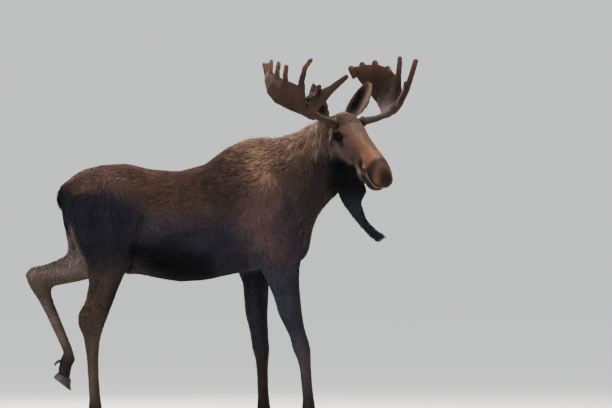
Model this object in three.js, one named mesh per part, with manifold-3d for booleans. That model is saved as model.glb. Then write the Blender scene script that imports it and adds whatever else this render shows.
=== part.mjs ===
// A bull moose, standing on three legs with the left hind foot lifted in mid-step and the head
// turned towards its right. Millimetres, +X from tail to chest, +Y to the animal's left, +Z up,
// the floor at Z = 0.
import * as THREE from "three";
import { mergeVertices } from "three/addons/utils/BufferGeometryUtils.js";
import Module from "manifold-3d";

const wasm = await Module();
wasm.setup();

// Driving dimensions. Every size below is written for a bull of 1.8 m and scales with this one.
const shoulderHeight = 1800;
const unit = shoulderHeight / 1800;
const gap = 0.4; // clear space left between neighbouring solids
const headYaw = 56; // degrees the muzzle is turned to the animal's right
const headPitch = 36; // degrees the muzzle points down
const headRoll = 4; // degrees the left side of the head is raised
const antlerYaw = 53; // degrees the antlers' own middle plane is turned
const browCentre = [775, -160, 1906]; // middle of the forehead, on the line between the antlers

const degrees = Math.PI / 180;
const vec = (x, y, z) => new THREE.Vector3(x, y, z).multiplyScalar(unit);

// ---------------------------------------------------------------- materials
const material = (color, roughness) => new THREE.MeshStandardMaterial({ color, roughness, metalness: 0 });
const darkCoat = material(0x2b211d, 0.85);
const backCoat = material(0x4a3427, 0.85);
const faceCoat = material(0x4f3527, 0.8);
const legCoat = material(0x3a302a, 0.85);
const velvet = material(0x5a3a26, 0.95);
const eyeBrown = material(0x140c08, 0.1);
const hoofHorn = material(0x1d1a18, 0.5);

// ---------------------------------------------------------------- making solids
// A smooth value between listed stations: a Catmull-Rom curve through them.
function smooth(values, at) {
  const last = values.length - 1;
  const i = Math.min(Math.floor(at), last - 1);
  const t = at - i;
  const p = (k) => values[Math.max(0, Math.min(last, k))];
  const [a, b, c, d] = [p(i - 1), p(i), p(i + 1), p(i + 2)];
  return b + 0.5 * t * (c - a + t * (2 * a - 5 * b + 4 * c - d + t * (3 * (b - c) + d - a)));
}

function smoothPoint(points, at) {
  return new THREE.Vector3(
    smooth(points.map((p) => p.x), at),
    smooth(points.map((p) => p.y), at),
    smooth(points.map((p) => p.z), at),
  );
}

// One rounded power curve: 2 is an ellipse, less is more pointed, more is boxier.
const rounded = (v, power) => Math.sign(v) * Math.abs(v) ** (2 / power);

// A closed solid through cross-sections. A section runs from its edge `a` to its edge `b` and is `half`
// wide to each side along `side`; `level` is the share of the way from b to a where it is widest.
const leftward = new THREE.Vector3(0, 1, 0);
function loft(sections, { sides = 12, grow = 0 } = {}) {
  const rings = sections.map(({ a, b, half, side = leftward, level = 0.5, peak = 2, keel = 2 }) => {
    const rise = a.clone().sub(b);
    const depth = rise.length();
    rise.divideScalar(depth);
    const middle = b.clone().addScaledVector(rise, depth * level);
    const ring = [];
    for (let k = 0; k < sides; k++) {
      const turn = (2 * Math.PI * k) / sides;
      const [c, s] = [Math.cos(turn), Math.sin(turn)];
      const power = c > 0 ? peak : keel;
      const reach = (c > 0 ? depth * (1 - level) : depth * level) + grow;
      ring.push(
        middle.clone()
          .addScaledVector(side, (half * unit + grow) * rounded(s, power))
          .addScaledVector(rise, reach * rounded(c, power)),
      );
    }
    return { ring, middle };
  });
  const last = rings.length - 1;
  for (const [end, next] of [[0, 1], [last, last - 1]]) {
    const outwards = rings[end].middle.clone().sub(rings[next].middle).normalize().multiplyScalar(grow);
    rings[end].ring.forEach((p) => p.add(outwards));
  }
  return closeRings(rings.map((r) => r.ring));
}

// Joins rings of equally many points with quads, and closes both ends with a fan.
function closeRings(rings) {
  const sides = rings[0].length;
  const points = rings.flat();
  const faces = [];
  for (let r = 0; r + 1 < rings.length; r++) {
    for (let k = 0; k < sides; k++) {
      const [p, q] = [r * sides + k, r * sides + ((k + 1) % sides)];
      faces.push(p, p + sides, q + sides, p, q + sides, q);
    }
  }
  for (const [start, flip] of [[0, true], [(rings.length - 1) * sides, false]]) {
    const middle = points.length;
    const centre = new THREE.Vector3();
    for (let k = 0; k < sides; k++) centre.addScaledVector(points[start + k], 1 / sides);
    points.push(centre);
    for (let k = 0; k < sides; k++) {
      const [p, q] = [start + k, start + ((k + 1) % sides)];
      faces.push(...(flip ? [middle, p, q] : [middle, q, p]));
    }
  }
  return outward(new THREE.BufferGeometry().setFromPoints(points).setIndex(faces));
}

// A curved sheet with a rounded rim: `place(u, v)` is its middle surface and `thick(u, v)` its thickness.
function sheet(place, thick, across, along, grow = 0) {
  const rings = [];
  const step = 1e-3;
  for (let j = 0; j <= along; j++) {
    const v = j / along;
    const [front, back] = [[], []];
    for (let i = 0; i <= across; i++) {
      const u = i / across;
      const here = place(u, v);
      const du = place(Math.min(1, u + step), v).sub(place(Math.max(0, u - step), v));
      const dv = place(u, Math.min(1, v + step)).sub(place(u, Math.max(0, v - step)));
      const normal = du.clone().cross(dv).normalize();
      const rim = i === 0 || i === across ? 0.25 : 1;
      if (i === 0) here.addScaledVector(du.normalize(), -grow);
      if (i === across) here.addScaledVector(du.normalize(), grow);
      if (j === 0) here.addScaledVector(dv.normalize(), -grow);
      if (j === along) here.addScaledVector(dv.normalize(), grow);
      front.push(here.clone().addScaledVector(normal, (thick(u, v) * unit * rim) / 2));
      back.unshift(here.clone().addScaledVector(normal, (-thick(u, v) * unit * rim) / 2));
    }
    rings.push([...front, ...back]);
  }
  return closeRings(rings);
}

// The same geometry with its faces pointing out.
function outward(geometry) {
  const [p, index] = [geometry.getAttribute("position"), geometry.index.array];
  const [a, b, c] = [new THREE.Vector3(), new THREE.Vector3(), new THREE.Vector3()];
  let volume = 0;
  for (let i = 0; i < index.length; i += 3) {
    a.fromBufferAttribute(p, index[i]);
    b.fromBufferAttribute(p, index[i + 1]);
    c.fromBufferAttribute(p, index[i + 2]);
    volume += a.dot(b.cross(c));
  }
  if (volume < 0) {
    for (let i = 0; i < index.length; i += 3) [index[i], index[i + 1]] = [index[i + 1], index[i]];
  }
  return geometry;
}

function solid(geometry) {
  const bare = new THREE.BufferGeometry().setAttribute("position", geometry.getAttribute("position"));
  if (geometry.index) bare.setIndex(geometry.index);
  const merged = mergeVertices(bare, 1e-3);
  return new wasm.Manifold(
    new wasm.Mesh({
      numProp: 3,
      vertProperties: new Float32Array(merged.getAttribute("position").array),
      triVerts: new Uint32Array(merged.index.array),
    }),
  );
}

const joined = (...solids) => solids.reduce((whole, s) => whole.add(s));
const largest = (shape) =>
  shape.decompose().reduce((best, s) => (s.volume() > best.volume() ? s : best));
// What is left of a solid when others are cut away, without loose crumbs.
const cut = (whole, ...others) => largest(others.reduce((rest, s) => rest.subtract(s), whole));

function node(name, shape, finish) {
  const made = shape.getMesh();
  const places = new Float32Array(made.numVert * 3);
  for (let i = 0; i < made.numVert; i++) {
    places.set(made.vertProperties.subarray(i * made.numProp, i * made.numProp + 3), i * 3);
  }
  const geometry = new THREE.BufferGeometry()
    .setAttribute("position", new THREE.BufferAttribute(places, 3))
    .setIndex(new THREE.BufferAttribute(new Uint32Array(made.triVerts), 1));
  geometry.computeVertexNormals();
  const mesh = new THREE.Mesh(geometry, finish);
  mesh.name = name;
  return mesh;
}

// ---------------------------------------------------------------- trunk and neck
// x, top, bottom, half width, height of the widest place, roundness above and below it
const trunkSections = [
  [-958, 1452, 1300, 55, 1390, 2.0, 2.0],
  [-932, 1520, 1200, 118, 1395, 2.0, 2.0],
  [-835, 1590, 1105, 185, 1385, 1.9, 2.0],
  [-700, 1622, 1020, 222, 1370, 1.8, 2.0],
  [-560, 1628, 965, 236, 1330, 1.75, 2.1],
  [-415, 1594, 934, 256, 1265, 1.8, 2.2],
  [-250, 1583, 905, 282, 1230, 1.8, 2.2],
  [-90, 1628, 915, 288, 1225, 1.7, 2.2],
  [50, 1735, 948, 276, 1225, 1.55, 2.2],
  [180, 1790, 972, 256, 1230, 1.5, 2.2],
  [310, 1800, 985, 232, 1240, 1.5, 2.2],
  [420, 1770, 992, 195, 1250, 1.6, 2.1],
  [505, 1640, 1044, 140, 1260, 1.9, 2.0],
  [545, 1420, 1135, 70, 1260, 2.0, 2.0],
].map(([x, top, bottom, half, wide, peak, keel]) => ({
  a: vec(x, 0, top),
  b: vec(x, 0, bottom),
  half,
  level: (wide - bottom) / (top - bottom),
  peak,
  keel,
}));

// The sheath under the rear of the belly: place and half sizes
const sheath = { place: [-552, 0, 976], size: [46, 30, 36] };

// Nape and throat points with half width and turn of the section, withers to skull
const neckSections = [
  [[270, 0, 1735], [390, 0, 1110], 160, 0],
  [[375, 0, 1802], [520, 0, 1130], 172, 5],
  [[455, -4, 1824], [556, -6, 1215], 156, 12],
  [[530, -14, 1867], [583, -22, 1300], 142, 22],
  [[600, -34, 1904], [640, -52, 1380], 128, 34],
  [[655, -66, 1918], [712, -92, 1452], 106, 46],
  [[705, -104, 1888], [768, -140, 1540], 84, 52],
].map(([nape, throat, half, turn]) => ({
  a: vec(...nape),
  b: vec(...throat),
  half,
  side: new THREE.Vector3(Math.sin(turn * degrees), Math.cos(turn * degrees), 0),
  level: 0.55,
  peak: 1.8,
  keel: 1.9,
}));

// ---------------------------------------------------------------- head
// Head axes: x from the brow to the muzzle, y to the left, z up from the forehead.
const headPlace = new THREE.Matrix4()
  .makeTranslation(vec(...browCentre))
  .multiply(new THREE.Matrix4().makeRotationZ(-headYaw * degrees))
  .multiply(new THREE.Matrix4().makeRotationY(headPitch * degrees))
  .multiply(new THREE.Matrix4().makeRotationX(headRoll * degrees));
const onHead = (x, y, z) => vec(x, y, z).applyMatrix4(headPlace);
const headLeft = onHead(0, 1, 0).sub(onHead(0, 0, 0)).normalize();

// along, top, bottom, half width, height of the widest place, roundness above and below it
const skullSections = [
  [-122, -75, -190, 62, -130, 2, 2],
  [-85, -22, -240, 92, -130, 2, 2],
  [-25, 6, -256, 104, -110, 2.3, 2.1],
  [40, 8, -252, 98, -95, 2.4, 2.4],
  [100, -2, -242, 93, -92, 2.3, 2.5],
  [165, -10, -222, 86, -94, 2.3, 2.4],
  [235, -12, -198, 80, -96, 2.4, 2.1],
  [305, -10, -178, 75, -98, 2.3, 2.2],
  [365, -8, -166, 74, -98, 2.3, 2.4],
  [415, -12, -166, 75, -98, 2.2, 2.5],
  [458, -25, -172, 76, -100, 2.1, 2.6],
  [498, -49, -170, 72, -107, 2.1, 2.6],
  [524, -70, -156, 62, -111, 2.2, 2.6],
  [541, -90, -140, 46, -115, 2.2, 2.3],
];
const jawSections = [
  [40, -120, -282, 82, -195, 2, 2],
  [95, -120, -276, 76, -190, 2, 2],
  [150, -115, -264, 66, -182, 2, 2],
  [220, -110, -241, 56, -172, 2, 2],
  [300, -110, -232, 49, -167, 2, 2],
  [375, -120, -234, 47, -170, 2, 2],
  [428, -125, -232, 49, -175, 2.2, 2.2],
  [468, -135, -219, 44, -176, 2.2, 2.2],
  [497, -148, -197, 28, -172, 2, 2],
];
const headSections = (rows) =>
  rows.map(([x, top, bottom, half, wide, peak, keel]) => ({
    a: onHead(x, 0, top),
    b: onHead(x, 0, bottom),
    half,
    side: headLeft,
    level: (wide - bottom) / (top - bottom),
    peak,
    keel,
  }));

// A ball stretched along the head's axes, used for brows, cheeks and nostrils.
function headBall([x, y, z], [rx, ry, rz], grow = 0, detail = 12) {
  const ball = new THREE.SphereGeometry(1, detail, Math.round(detail * 0.6));
  ball.applyMatrix4(
    new THREE.Matrix4().makeScale(rx * unit + grow, ry * unit + grow, rz * unit + grow),
  );
  ball.applyMatrix4(headPlace.clone().multiply(new THREE.Matrix4().makeTranslation(vec(x, y, z))));
  return solid(ball);
}

const eyePlace = (side) => [82, side * 88, -84];
const eyeRadius = 19;
// Bony rim over each eye and flare of each nostril: place and half sizes
const browRim = { place: (side) => [68, side * 69, -58], size: [52, 28, 28] };
const nostrilFlare = { place: (side) => [372, side * 56, -84], size: [44, 24, 34] };

function skull(grow) {
  const parts = [
    solid(loft(headSections(skullSections), { sides: 14, grow })),
    solid(loft(headSections(jawSections), { sides: 10, grow })),
  ];
  for (const { place, size } of [browRim, nostrilFlare]) {
    for (const side of [-1, 1]) parts.push(headBall(place(side), size, grow, 8));
  }
  return joined(...parts);
}

// ---------------------------------------------------------------- legs
// Each row: front x, front z, back x, back z, y, half width. The foot rows hang from the fetlock.
const footRows = [
  [42, 2, -44, -4, 42],
  [46, -32, -38, -42, 38],
  [62, -68, -22, -76, 35],
  [84, -98, -6, -112, 40],
];
function legSections(rows, fetlock, flex) {
  const turn = new THREE.Matrix4().makeRotationY(flex * degrees);
  const set = (x, z) => vec(x, 0, z).applyMatrix4(turn).add(vec(...fetlock));
  return [
    ...rows.map(([fx, fz, bx, bz, y, half]) => ({ a: vec(fx, y, fz), b: vec(bx, y, bz), half })),
    ...footRows.map(([fx, fz, bx, bz, half]) => ({ a: set(fx, fz), b: set(bx, bz), half })),
  ];
}

const legs = {
  fore_right: {
    fetlock: [530, -128, 162],
    flex: 0,
    rows: [
      [380, 1600, 190, 1600, -84, 36],
      [462, 1440, 150, 1420, -138, 74],
      [515, 1270, 160, 1230, -152, 98],
      [512, 1120, 190, 1090, -152, 94],
      [480, 1000, 240, 985, -148, 80],
      [475, 915, 284, 900, -144, 66],
      [484, 820, 318, 815, -138, 56],
      [494, 720, 344, 720, -134, 50],
      [509, 630, 384, 640, -131, 46],
      [528, 570, 418, 572, -130, 46],
      [544, 512, 430, 508, -129, 49],
      [548, 452, 458, 448, -129, 41],
      [548, 380, 475, 380, -128, 32],
      [556, 280, 484, 280, -128, 29],
      [566, 205, 492, 205, -128, 33],
    ],
  },
  fore_left: {
    fetlock: [258, 142, 162],
    flex: 0,
    rows: [
      [370, 1600, 180, 1600, 84, 36],
      [445, 1440, 130, 1420, 138, 74],
      [470, 1270, 105, 1230, 154, 98],
      [410, 1110, 88, 1080, 156, 94],
      [322, 1000, 98, 975, 154, 80],
      [293, 905, 130, 900, 154, 66],
      [289, 815, 136, 812, 150, 56],
      [285, 715, 143, 718, 146, 50],
      [288, 630, 162, 645, 144, 46],
      [288, 570, 178, 575, 143, 46],
      [297, 512, 184, 508, 142, 49],
      [292, 452, 204, 448, 142, 41],
      [286, 380, 213, 380, 142, 32],
      [288, 280, 216, 280, 142, 29],
      [294, 205, 220, 205, 142, 33],
    ],
  },
  hind_right: {
    fetlock: [-752, -118, 162],
    flex: 0,
    rows: [
      [-560, 1500, -800, 1530, -100, 60],
      [-480, 1370, -915, 1440, -138, 94],
      [-468, 1240, -938, 1310, -146, 104],
      [-488, 1125, -918, 1205, -146, 102],
      [-532, 1030, -872, 1110, -144, 90],
      [-578, 950, -812, 1012, -136, 72],
      [-620, 851, -792, 905, -130, 56],
      [-655, 750, -812, 800, -126, 46],
      [-682, 680, -858, 716, -123, 43],
      [-705, 615, -858, 655, -121, 42],
      [-724, 545, -826, 575, -120, 37],
      [-730, 450, -808, 460, -119, 31],
      [-728, 330, -800, 335, -118, 29],
      [-718, 210, -792, 210, -118, 33],
    ],
  },
  hind_left: {
    fetlock: [-914, 124, 458],
    flex: 38,
    rows: [
      [-560, 1500, -800, 1530, 100, 60],
      [-500, 1370, -920, 1440, 138, 94],
      [-515, 1230, -950, 1310, 146, 104],
      [-570, 1110, -952, 1210, 147, 100],
      [-660, 1000, -930, 1130, 144, 88],
      [-770, 932, -938, 1080, 137, 70],
      [-868, 907, -985, 1050, 132, 56],
      [-945, 892, -1060, 1020, 129, 47],
      [-995, 884, -1146, 1000, 127, 43],
      [-1022, 868, -1185, 958, 126, 42],
      [-1024, 832, -1164, 892, 125, 41],
      [-1004, 770, -1106, 800, 125, 36],
      [-972, 690, -1061, 715, 124, 32],
      [-936, 602, -1021, 630, 124, 31],
      [-898, 505, -974, 532, 124, 34],
    ],
  },
};

// Two toes and two dewclaws below one fetlock, in the same frame as the foot rows.
function footHorn(name, { fetlock, flex }, grow) {
  const turn = new THREE.Matrix4().makeRotationY(flex * degrees);
  const set = (x, y, z) => vec(x, y, z).applyMatrix4(turn).add(vec(...fetlock));
  const section = (fx, fz, bx, bz, y, half) => ({ a: set(fx, y, fz), b: set(bx, y, bz), half });
  const outerSide = name.endsWith("left") ? 1 : -1;
  return ["outer", "inner"].flatMap((which) => {
    const side = which === "outer" ? outerSide : -outerSide;
    const toe = loft(
      [
        section(92, -102, -2, -118, side * 24, 21),
        section(116, -136, -6, -146, side * 27, 26),
        section(140, -162, -8, -162, side * 29, 27),
      ],
      { sides: 7, grow },
    );
    const claw = loft(
      [
        section(-26, -62, -44, -50, side * 24, 9),
        section(-40, -88, -64, -72, side * 27, 12),
        section(-46, -112, -66, -108, side * 29, 8),
      ],
      { sides: 5, grow },
    );
    return [
      [`hoof_${name}_${which}`, solid(toe)],
      [`dewclaw_${name}_${which}`, solid(claw)],
    ];
  });
}

// ---------------------------------------------------------------- tail, bell and ears
const tailSections = [
  [[-900, 0, 1530], [-905, 0, 1462], 36],
  [[-948, 0, 1512], [-925, 0, 1440], 38],
  [[-982, 0, 1462], [-940, 0, 1420], 34],
  [[-992, 0, 1410], [-948, 0, 1392], 28],
  [[-982, 0, 1362], [-952, 0, 1358], 16],
].map(([a, b, half]) => ({ a: vec(...a), b: vec(...b), half }));

const bellSections = [
  [[852, -286, 1622], [700, -128, 1588], 46],
  [[846, -282, 1548], [704, -136, 1500], 50],
  [[868, -284, 1474], [716, -152, 1440], 46],
  [[836, -256, 1400], [742, -180, 1388], 40],
  [[852, -255, 1330], [796, -212, 1306], 30],
  [[884, -262, 1276], [846, -232, 1240], 23],
  [[934, -276, 1232], [894, -250, 1180], 19],
  [[992, -292, 1202], [940, -268, 1136], 15],
].map(([a, b, half]) => ({
  a: vec(...a),
  b: vec(...b),
  half,
  side: new THREE.Vector3(Math.sin(headYaw * degrees), Math.cos(headYaw * degrees), 0),
}));

const earThickness = 7;

// A cupped leaf from its root to its tip
function earSolid({ root: start, reach, facing: way, half, foot, blunt }) {
  const [root, up, facing] = [onHead(...start), vec(...reach), vec(...way)];
  const look = facing.clone().addScaledVector(up, -facing.dot(up) / up.lengthSq()).normalize();
  const across = up.clone().normalize().cross(look);
  const place = (u, v) => {
    const leaf = (foot + (1.37 - foot) * Math.sin(Math.PI * v ** 0.85) ** blunt) * (1 - v ** 9 * 0.5);
    const width = half * unit * leaf;
    const roll = (u - 0.5) * Math.PI * (1.15 - 0.5 * v);
    return root.clone()
      .addScaledVector(up, v)
      .addScaledVector(across, width * Math.sin(roll))
      .addScaledVector(look, width * 0.8 * (1 - Math.cos(roll)) - 10 * unit * v);
  };
  return solid(sheet(place, () => earThickness, 4, 5));
}

// Root in the head's axes, tip from the root in the animal's, the way the hollow looks, half of the
// width, the share of it at the foot, and how full the leaf is towards its ends (less is fuller)
const ears = {
  right: {
    root: [-90, -84, -94], reach: [-88, -46, 230], facing: [-0.4, -1, 0.1], half: 42, foot: 0.35, blunt: 0.5,
  },
  left: {
    root: [-98, 58, -52], reach: [144, 66, 185], facing: [0.35, -1, -0.2], half: 45, foot: 0.9, blunt: 0.8,
  },
};

// ---------------------------------------------------------------- antlers
// Antler axes: out from the burr, back along the level of the head, and up.
const burrPlace = (side) => [10, side * 100, -38];
function antlerFrame(side) {
  const burr = onHead(...burrPlace(side));
  const out = new THREE.Vector3(Math.sin(antlerYaw * degrees), Math.cos(antlerYaw * degrees), 0);
  const back = new THREE.Vector3(-Math.cos(antlerYaw * degrees), Math.sin(antlerYaw * degrees), 0);
  return ([o, b, z]) =>
    burr.clone()
      .addScaledVector(out, side * o * unit)
      .addScaledVector(back, b * unit)
      .add(vec(0, 0, z));
}

// A bar through points with half widths along `across`, `flats` times as deep as it is wide. Without
// `across` the width lies level.
function bar(points, halves, { sides = 6, grow = 0, flats = points.map(() => 1), across } = {}) {
  const sections = points.map((p, i) => {
    const before = points[Math.max(0, i - 1)];
    const after = points[Math.min(points.length - 1, i + 1)];
    const along = after.clone().sub(before).normalize();
    const side = across
      ? across.clone().addScaledVector(along, -across.dot(along)).normalize()
      : along.clone().cross(new THREE.Vector3(0.3, 0.1, 1)).normalize();
    const rise = side.clone().cross(along).multiplyScalar(halves[i] * flats[i] * unit);
    return { a: p.clone().add(rise), b: p.clone().sub(rise), half: halves[i], side };
  });
  return solid(loft(sections, { sides, grow }));
}

const beamLine = [
  [-40, 5, -12], [0, 0, 0], [83, -29, 18], [139, -23, 36], [194, -18, 64], [250, -42, 118],
];
const beamHalves = [28, 27, 20, 21, 24, 25];
const burrLine = [[-10, 1, -3], [4, 0, 0], [20, -4, 3]];
const burrHalves = [28, 35, 26];
const tineTaper = 0.14; // share of its width that a tine loses towards its tip
const tineFlare = 1.2; // how much wider, in the palm's plane, it is at its root
const tineRoot = 0.55; // the share of its thickness that it has there, inside the palm
// The palm's lower border, from the beam round the back to the rearmost tine
const palmBase = [
  [150, -8, 20], [190, 60, 50], [250, 165, 96], [276, 255, 148], [250, 345, 238], [232, 374, 292],
];

// How deep the palm is cupped, its upper border from the beam to the rearmost tine, the tines on it
// from front to rear, and the brow tines. A tine is a line from root to tip, with its half width.
const antlerShapes = {
  right: {
    cup: 44,
    crown: [
      [262, -74, 118], [270, -36, 206], [281, 50, 244], [282, 150, 268], [262, 250, 302], [230, 352, 320],
    ],
    tines: [
      {
        line: [[264, -22, 136], [258, -16, 250], [249, -39, 330], [230, -69, 374]],
        half: 18,
        flats: [3.3, 1.5, 1, 1],
      },
      { line: [[288, 100, 220], [286, 110, 290], [276, 112, 340]], half: 17 },
      { line: [[278, 192, 240], [272, 208, 310], [257, 213, 362]], half: 17 },
      { line: [[262, 284, 272], [250, 300, 330], [236, 316, 375]], half: 15 },
      { line: [[236, 340, 280], [207, 390, 358]], half: 15 },
      { line: [[240, 360, 270], [219, 412, 358]], half: 16 },
    ],
    brow: [
      {
        line: [[246, -6, 86], [222, -80, 118], [204, -142, 152], [186, -212, 198], [155, -326, 274]],
        half: 16,
        flats: [3.8, 4.6, 3.9, 2.3, 1.2],
        root: 1,
      },
      { line: [[222, -104, 156], [216, -134, 216]], half: 20, flats: [2, 1] },
    ],
  },
  left: {
    cup: 16,
    crown: [
      [262, -66, 118], [270, -26, 222], [276, 45, 300], [266, 160, 346], [248, 258, 352], [222, 374, 340],
    ],
    tines: [
      { line: [[266, 0, 190], [258, -18, 275], [249, -39, 330], [230, -69, 384]], half: 18 },
      { line: [[278, 104, 262], [276, 112, 334]], half: 15, flats: [3.6, 1.5] },
      { line: [[264, 205, 290], [256, 213, 368]], half: 15, flats: [3.8, 1.5] },
      { line: [[248, 288, 288], [234, 316, 358]], half: 15, flats: [3.6, 1.5] },
      { line: [[232, 352, 284], [214, 404, 336]], half: 14, flats: [3.0, 1.6] },
    ],
    brow: [
      {
        line: [[246, -6, 84], [224, -80, 120], [207, -165, 190], [178, -240, 256], [152, -326, 362]],
        half: 20,
        flats: [2.6, 2.9, 1.8, 1.1, 0.9],
        root: 1,
      },
      { line: [[230, -100, 160], [222, -140, 234]], half: 16, flats: [2, 1] },
    ],
  },
};

function antler(side, { cup: depth, crown, tines, brow }) {
  const at = antlerFrame(side);
  const beam = (grow) =>
    joined(
      bar(beamLine.map(at), beamHalves, { sides: 8, grow }),
      bar(burrLine.map(at), burrHalves, { sides: 8, grow }),
    );
  const [low, high] = [palmBase.map(at), crown.map(at)];
  const cupWay = at([1, 0.15, -0.75]).sub(at([0, 0, 0])).normalize();
  const place = (u, v) => {
    const cup = depth * unit * Math.sin(Math.PI * u) * Math.sin(Math.PI * Math.min(1, 0.15 + v * 0.8));
    return smoothPoint(low, v * (low.length - 1))
      .lerp(smoothPoint(high, v * (high.length - 1)), u)
      .addScaledVector(cupWay, cup);
  };
  const tine = ({ line, half, flats, root = tineRoot }, grow, across) => {
    const shares = line.map((_, i) => i / (line.length - 1));
    const thins = shares.map((t) => (t ? 1 : root));
    const halves = shares.map((t, i) => half * (1 - tineTaper * t) * thins[i]);
    const wide = shares.map((t, i) => (flats?.[i] ?? 1 + tineFlare * (1 - t) ** 2) / thins[i]);
    const dome = halves[halves.length - 1];
    const [before, tip] = line.slice(-2).map(at);
    const end = tip.clone().sub(before).setLength(dome * 0.7 * unit).add(tip);
    return bar([...line.map(at), end], [...halves, dome * 0.5], { grow, flats: [...wide, 1], across });
  };
  const palm = (grow) => {
    const thick = (u, v) => 34 - 16 * v + 10 * (1 - u) * (1 - v) + 2 * grow;
    return joined(solid(sheet(place, thick, 4, 6, grow)), ...tines.map((t) => tine(t, grow, cupWay)));
  };
  return {
    beam: cut(beam(0), fatBody),
    palm: cut(palm(0), beam(gap)),
    brow: cut(joined(...brow.map((t) => tine(t, 0))), beam(gap), palm(gap)),
  };
}

// ---------------------------------------------------------------- parting the animal
// All that lies on the far side of a plane, `grow` beyond it included.
function beyond(point, normal, grow = 0) {
  const size = 6000 * unit;
  const way = normal.clone().normalize();
  const box = new THREE.BoxGeometry(size, size, size);
  box.applyQuaternion(new THREE.Quaternion().setFromUnitVectors(new THREE.Vector3(1, 0, 0), way));
  box.translate(...point.clone().addScaledVector(way, size / 2 - grow));
  return solid(box);
}

// Splits a solid in what lies in a cutter and what lies clear of it.
const part = (whole, cutter) => [largest(whole.intersect(cutter(0))), cut(whole, cutter(gap))];

// The head ends on a slanting plane behind the poll and the jaw.
const headCutter = (grow) =>
  skull(grow).intersect(
    beyond(onHead(-40, 0, -130), onHead(0.888, 0, 0.458).sub(onHead(0, 0, 0)), grow),
  );

// The neck begins on a plane that leans with the shoulder.
const neckCutter = (grow) => beyond(vec(430, 0, 1440), new THREE.Vector3(0.964, 0, 0.268), grow);

// A leg's share of the body, from the top down: front x, back x, z, nearest y to the middle.
const legCutters = {
  fore_right: [
    [430, 330, 1560, 150], [470, 250, 1500, 145], [490, 190, 1400, 135], [485, 172, 1280, 120],
    [472, 168, 1150, 95], [600, 180, 1010, 60], [700, 120, 900, 20], [900, -100, -50, 15],
  ],
  fore_left: [
    [400, 270, 1560, 150], [450, 190, 1500, 145], [465, 130, 1400, 135], [445, 105, 1280, 120],
    [400, 85, 1150, 95], [350, 70, 1010, 60], [420, 0, 900, 20], [700, -300, -50, 15],
  ],
  hind_right: [
    [-620, -780, 1560, 120], [-540, -850, 1500, 115], [-480, -890, 1400, 105], [-455, -905, 1280, 95],
    [-470, -1000, 1160, 75], [-515, -1050, 1050, 50], [-545, -1100, 960, 25], [-400, -1300, -50, 15],
  ],
  hind_left: [
    [-620, -780, 1560, 120], [-540, -850, 1500, 115], [-485, -890, 1400, 105], [-480, -905, 1280, 95],
    [-510, -1050, 1160, 75], [-560, -1300, 1070, 50], [-600, -1400, 960, 25], [-500, -1500, -50, 15],
  ],
};
const legReach = 420; // how far a cutter reaches out from the middle plane

function legCutter(name, grow) {
  const side = name.endsWith("left") ? 1 : -1;
  const sections = legCutters[name].map(([front, back, z, inner]) => {
    const y = (side * (inner + legReach)) / 2;
    return { a: vec(front, y, z), b: vec(back, y, z), half: (legReach - inner) / 2, peak: 6, keel: 6 };
  });
  return solid(loft(sections, { sides: 10, grow }));
}

// Knee and hock planes: a point and the way the lower leg runs.
const legJoints = {
  fore_right: [[490, 0, 505], [0.1, 0, -1]],
  fore_left: [[245, 0, 505], [0, 0, -1]],
  hind_right: [[-780, 0, 640], [0.1, 0, -1]],
  hind_left: [[-1085, 0, 842], [0.47, 0, -0.88]],
};

// ---------------------------------------------------------------- putting the animal together
const moose = new THREE.Group();
const add = (name, shape, finish) => moose.add(node(name, shape, finish));

const sheathSolid = (grow) => {
  const ball = new THREE.SphereGeometry(1, 8, 6);
  const halves = sheath.size.map((half) => half * unit + grow);
  return solid(ball.scale(...halves).translate(...vec(...sheath.place)));
};
const legSolid = ({ rows, fetlock, flex }, grow) =>
  solid(loft(legSections(rows, fetlock, flex), { sides: 10, grow }));
const wholeBody = (grow) =>
  joined(
    solid(loft(trunkSections, { sides: 16, grow })),
    sheathSolid(grow),
    solid(loft(neckSections, { sides: 14, grow })),
    skull(grow),
    ...Object.values(legs).map((leg) => legSolid(leg, grow)),
  );
const fatBody = wholeBody(gap);
let body = wholeBody(0);
const take = (cutter) => {
  const [piece, rest] = part(body, cutter);
  body = rest;
  return piece;
};

for (const [name, side] of [["right", -1], ["left", 1]]) {
  const pieces = antler(side, antlerShapes[name]);
  Object.entries(pieces).forEach(([piece, shape]) => add(`antler_${name}_${piece}`, shape, velvet));
}
Object.entries(ears).forEach(([name, ear]) => add(`ear_${name}`, cut(earSolid(ear), fatBody), faceCoat));

let head = take(headCutter);
for (const [name, side] of [["right", -1], ["left", 1]]) {
  const eye = (grow) => headBall(eyePlace(side), [eyeRadius, eyeRadius, eyeRadius], grow, 10);
  head = cut(head, eye(gap));
  add(`eye_${name}`, eye(0), eyeBrown);
}
add("head", head, faceCoat);
add("bell", cut(solid(loft(bellSections, { sides: 11 })), fatBody), darkCoat);
add("neck", take(neckCutter), darkCoat);

for (const [name, leg] of Object.entries(legs)) {
  const whole = cut(
    take((grow) => legCutter(name, grow)),
    ...footHorn(name, leg, gap).map(([, shape]) => shape),
  );
  const [point, way] = legJoints[name];
  const [lower, upper] = part(whole, (grow) => beyond(vec(...point), new THREE.Vector3(...way), grow));
  add(`leg_${name}_upper`, upper, legCoat);
  add(`leg_${name}_lower`, lower, legCoat);
  footHorn(name, leg, 0).forEach(([hornName, shape]) => add(hornName, shape, hoofHorn));
}
add("trunk", body, backCoat);
add("tail", cut(solid(loft(tailSections, { sides: 8 })), fatBody), darkCoat);

// The origin moves to the middle of the animal's box, on the floor.
const box = new THREE.Box3().setFromObject(moose);
const middle = box.getCenter(new THREE.Vector3());
moose.children.forEach((mesh) => mesh.geometry.translate(-middle.x, -middle.y, -box.min.z));

export default moose;
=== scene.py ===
import math

import bmesh
import bpy
import numpy as np
from mathutils import Matrix, Vector
from mathutils.bvhtree import BVHTree
from mathutils.kdtree import KDTree


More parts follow.
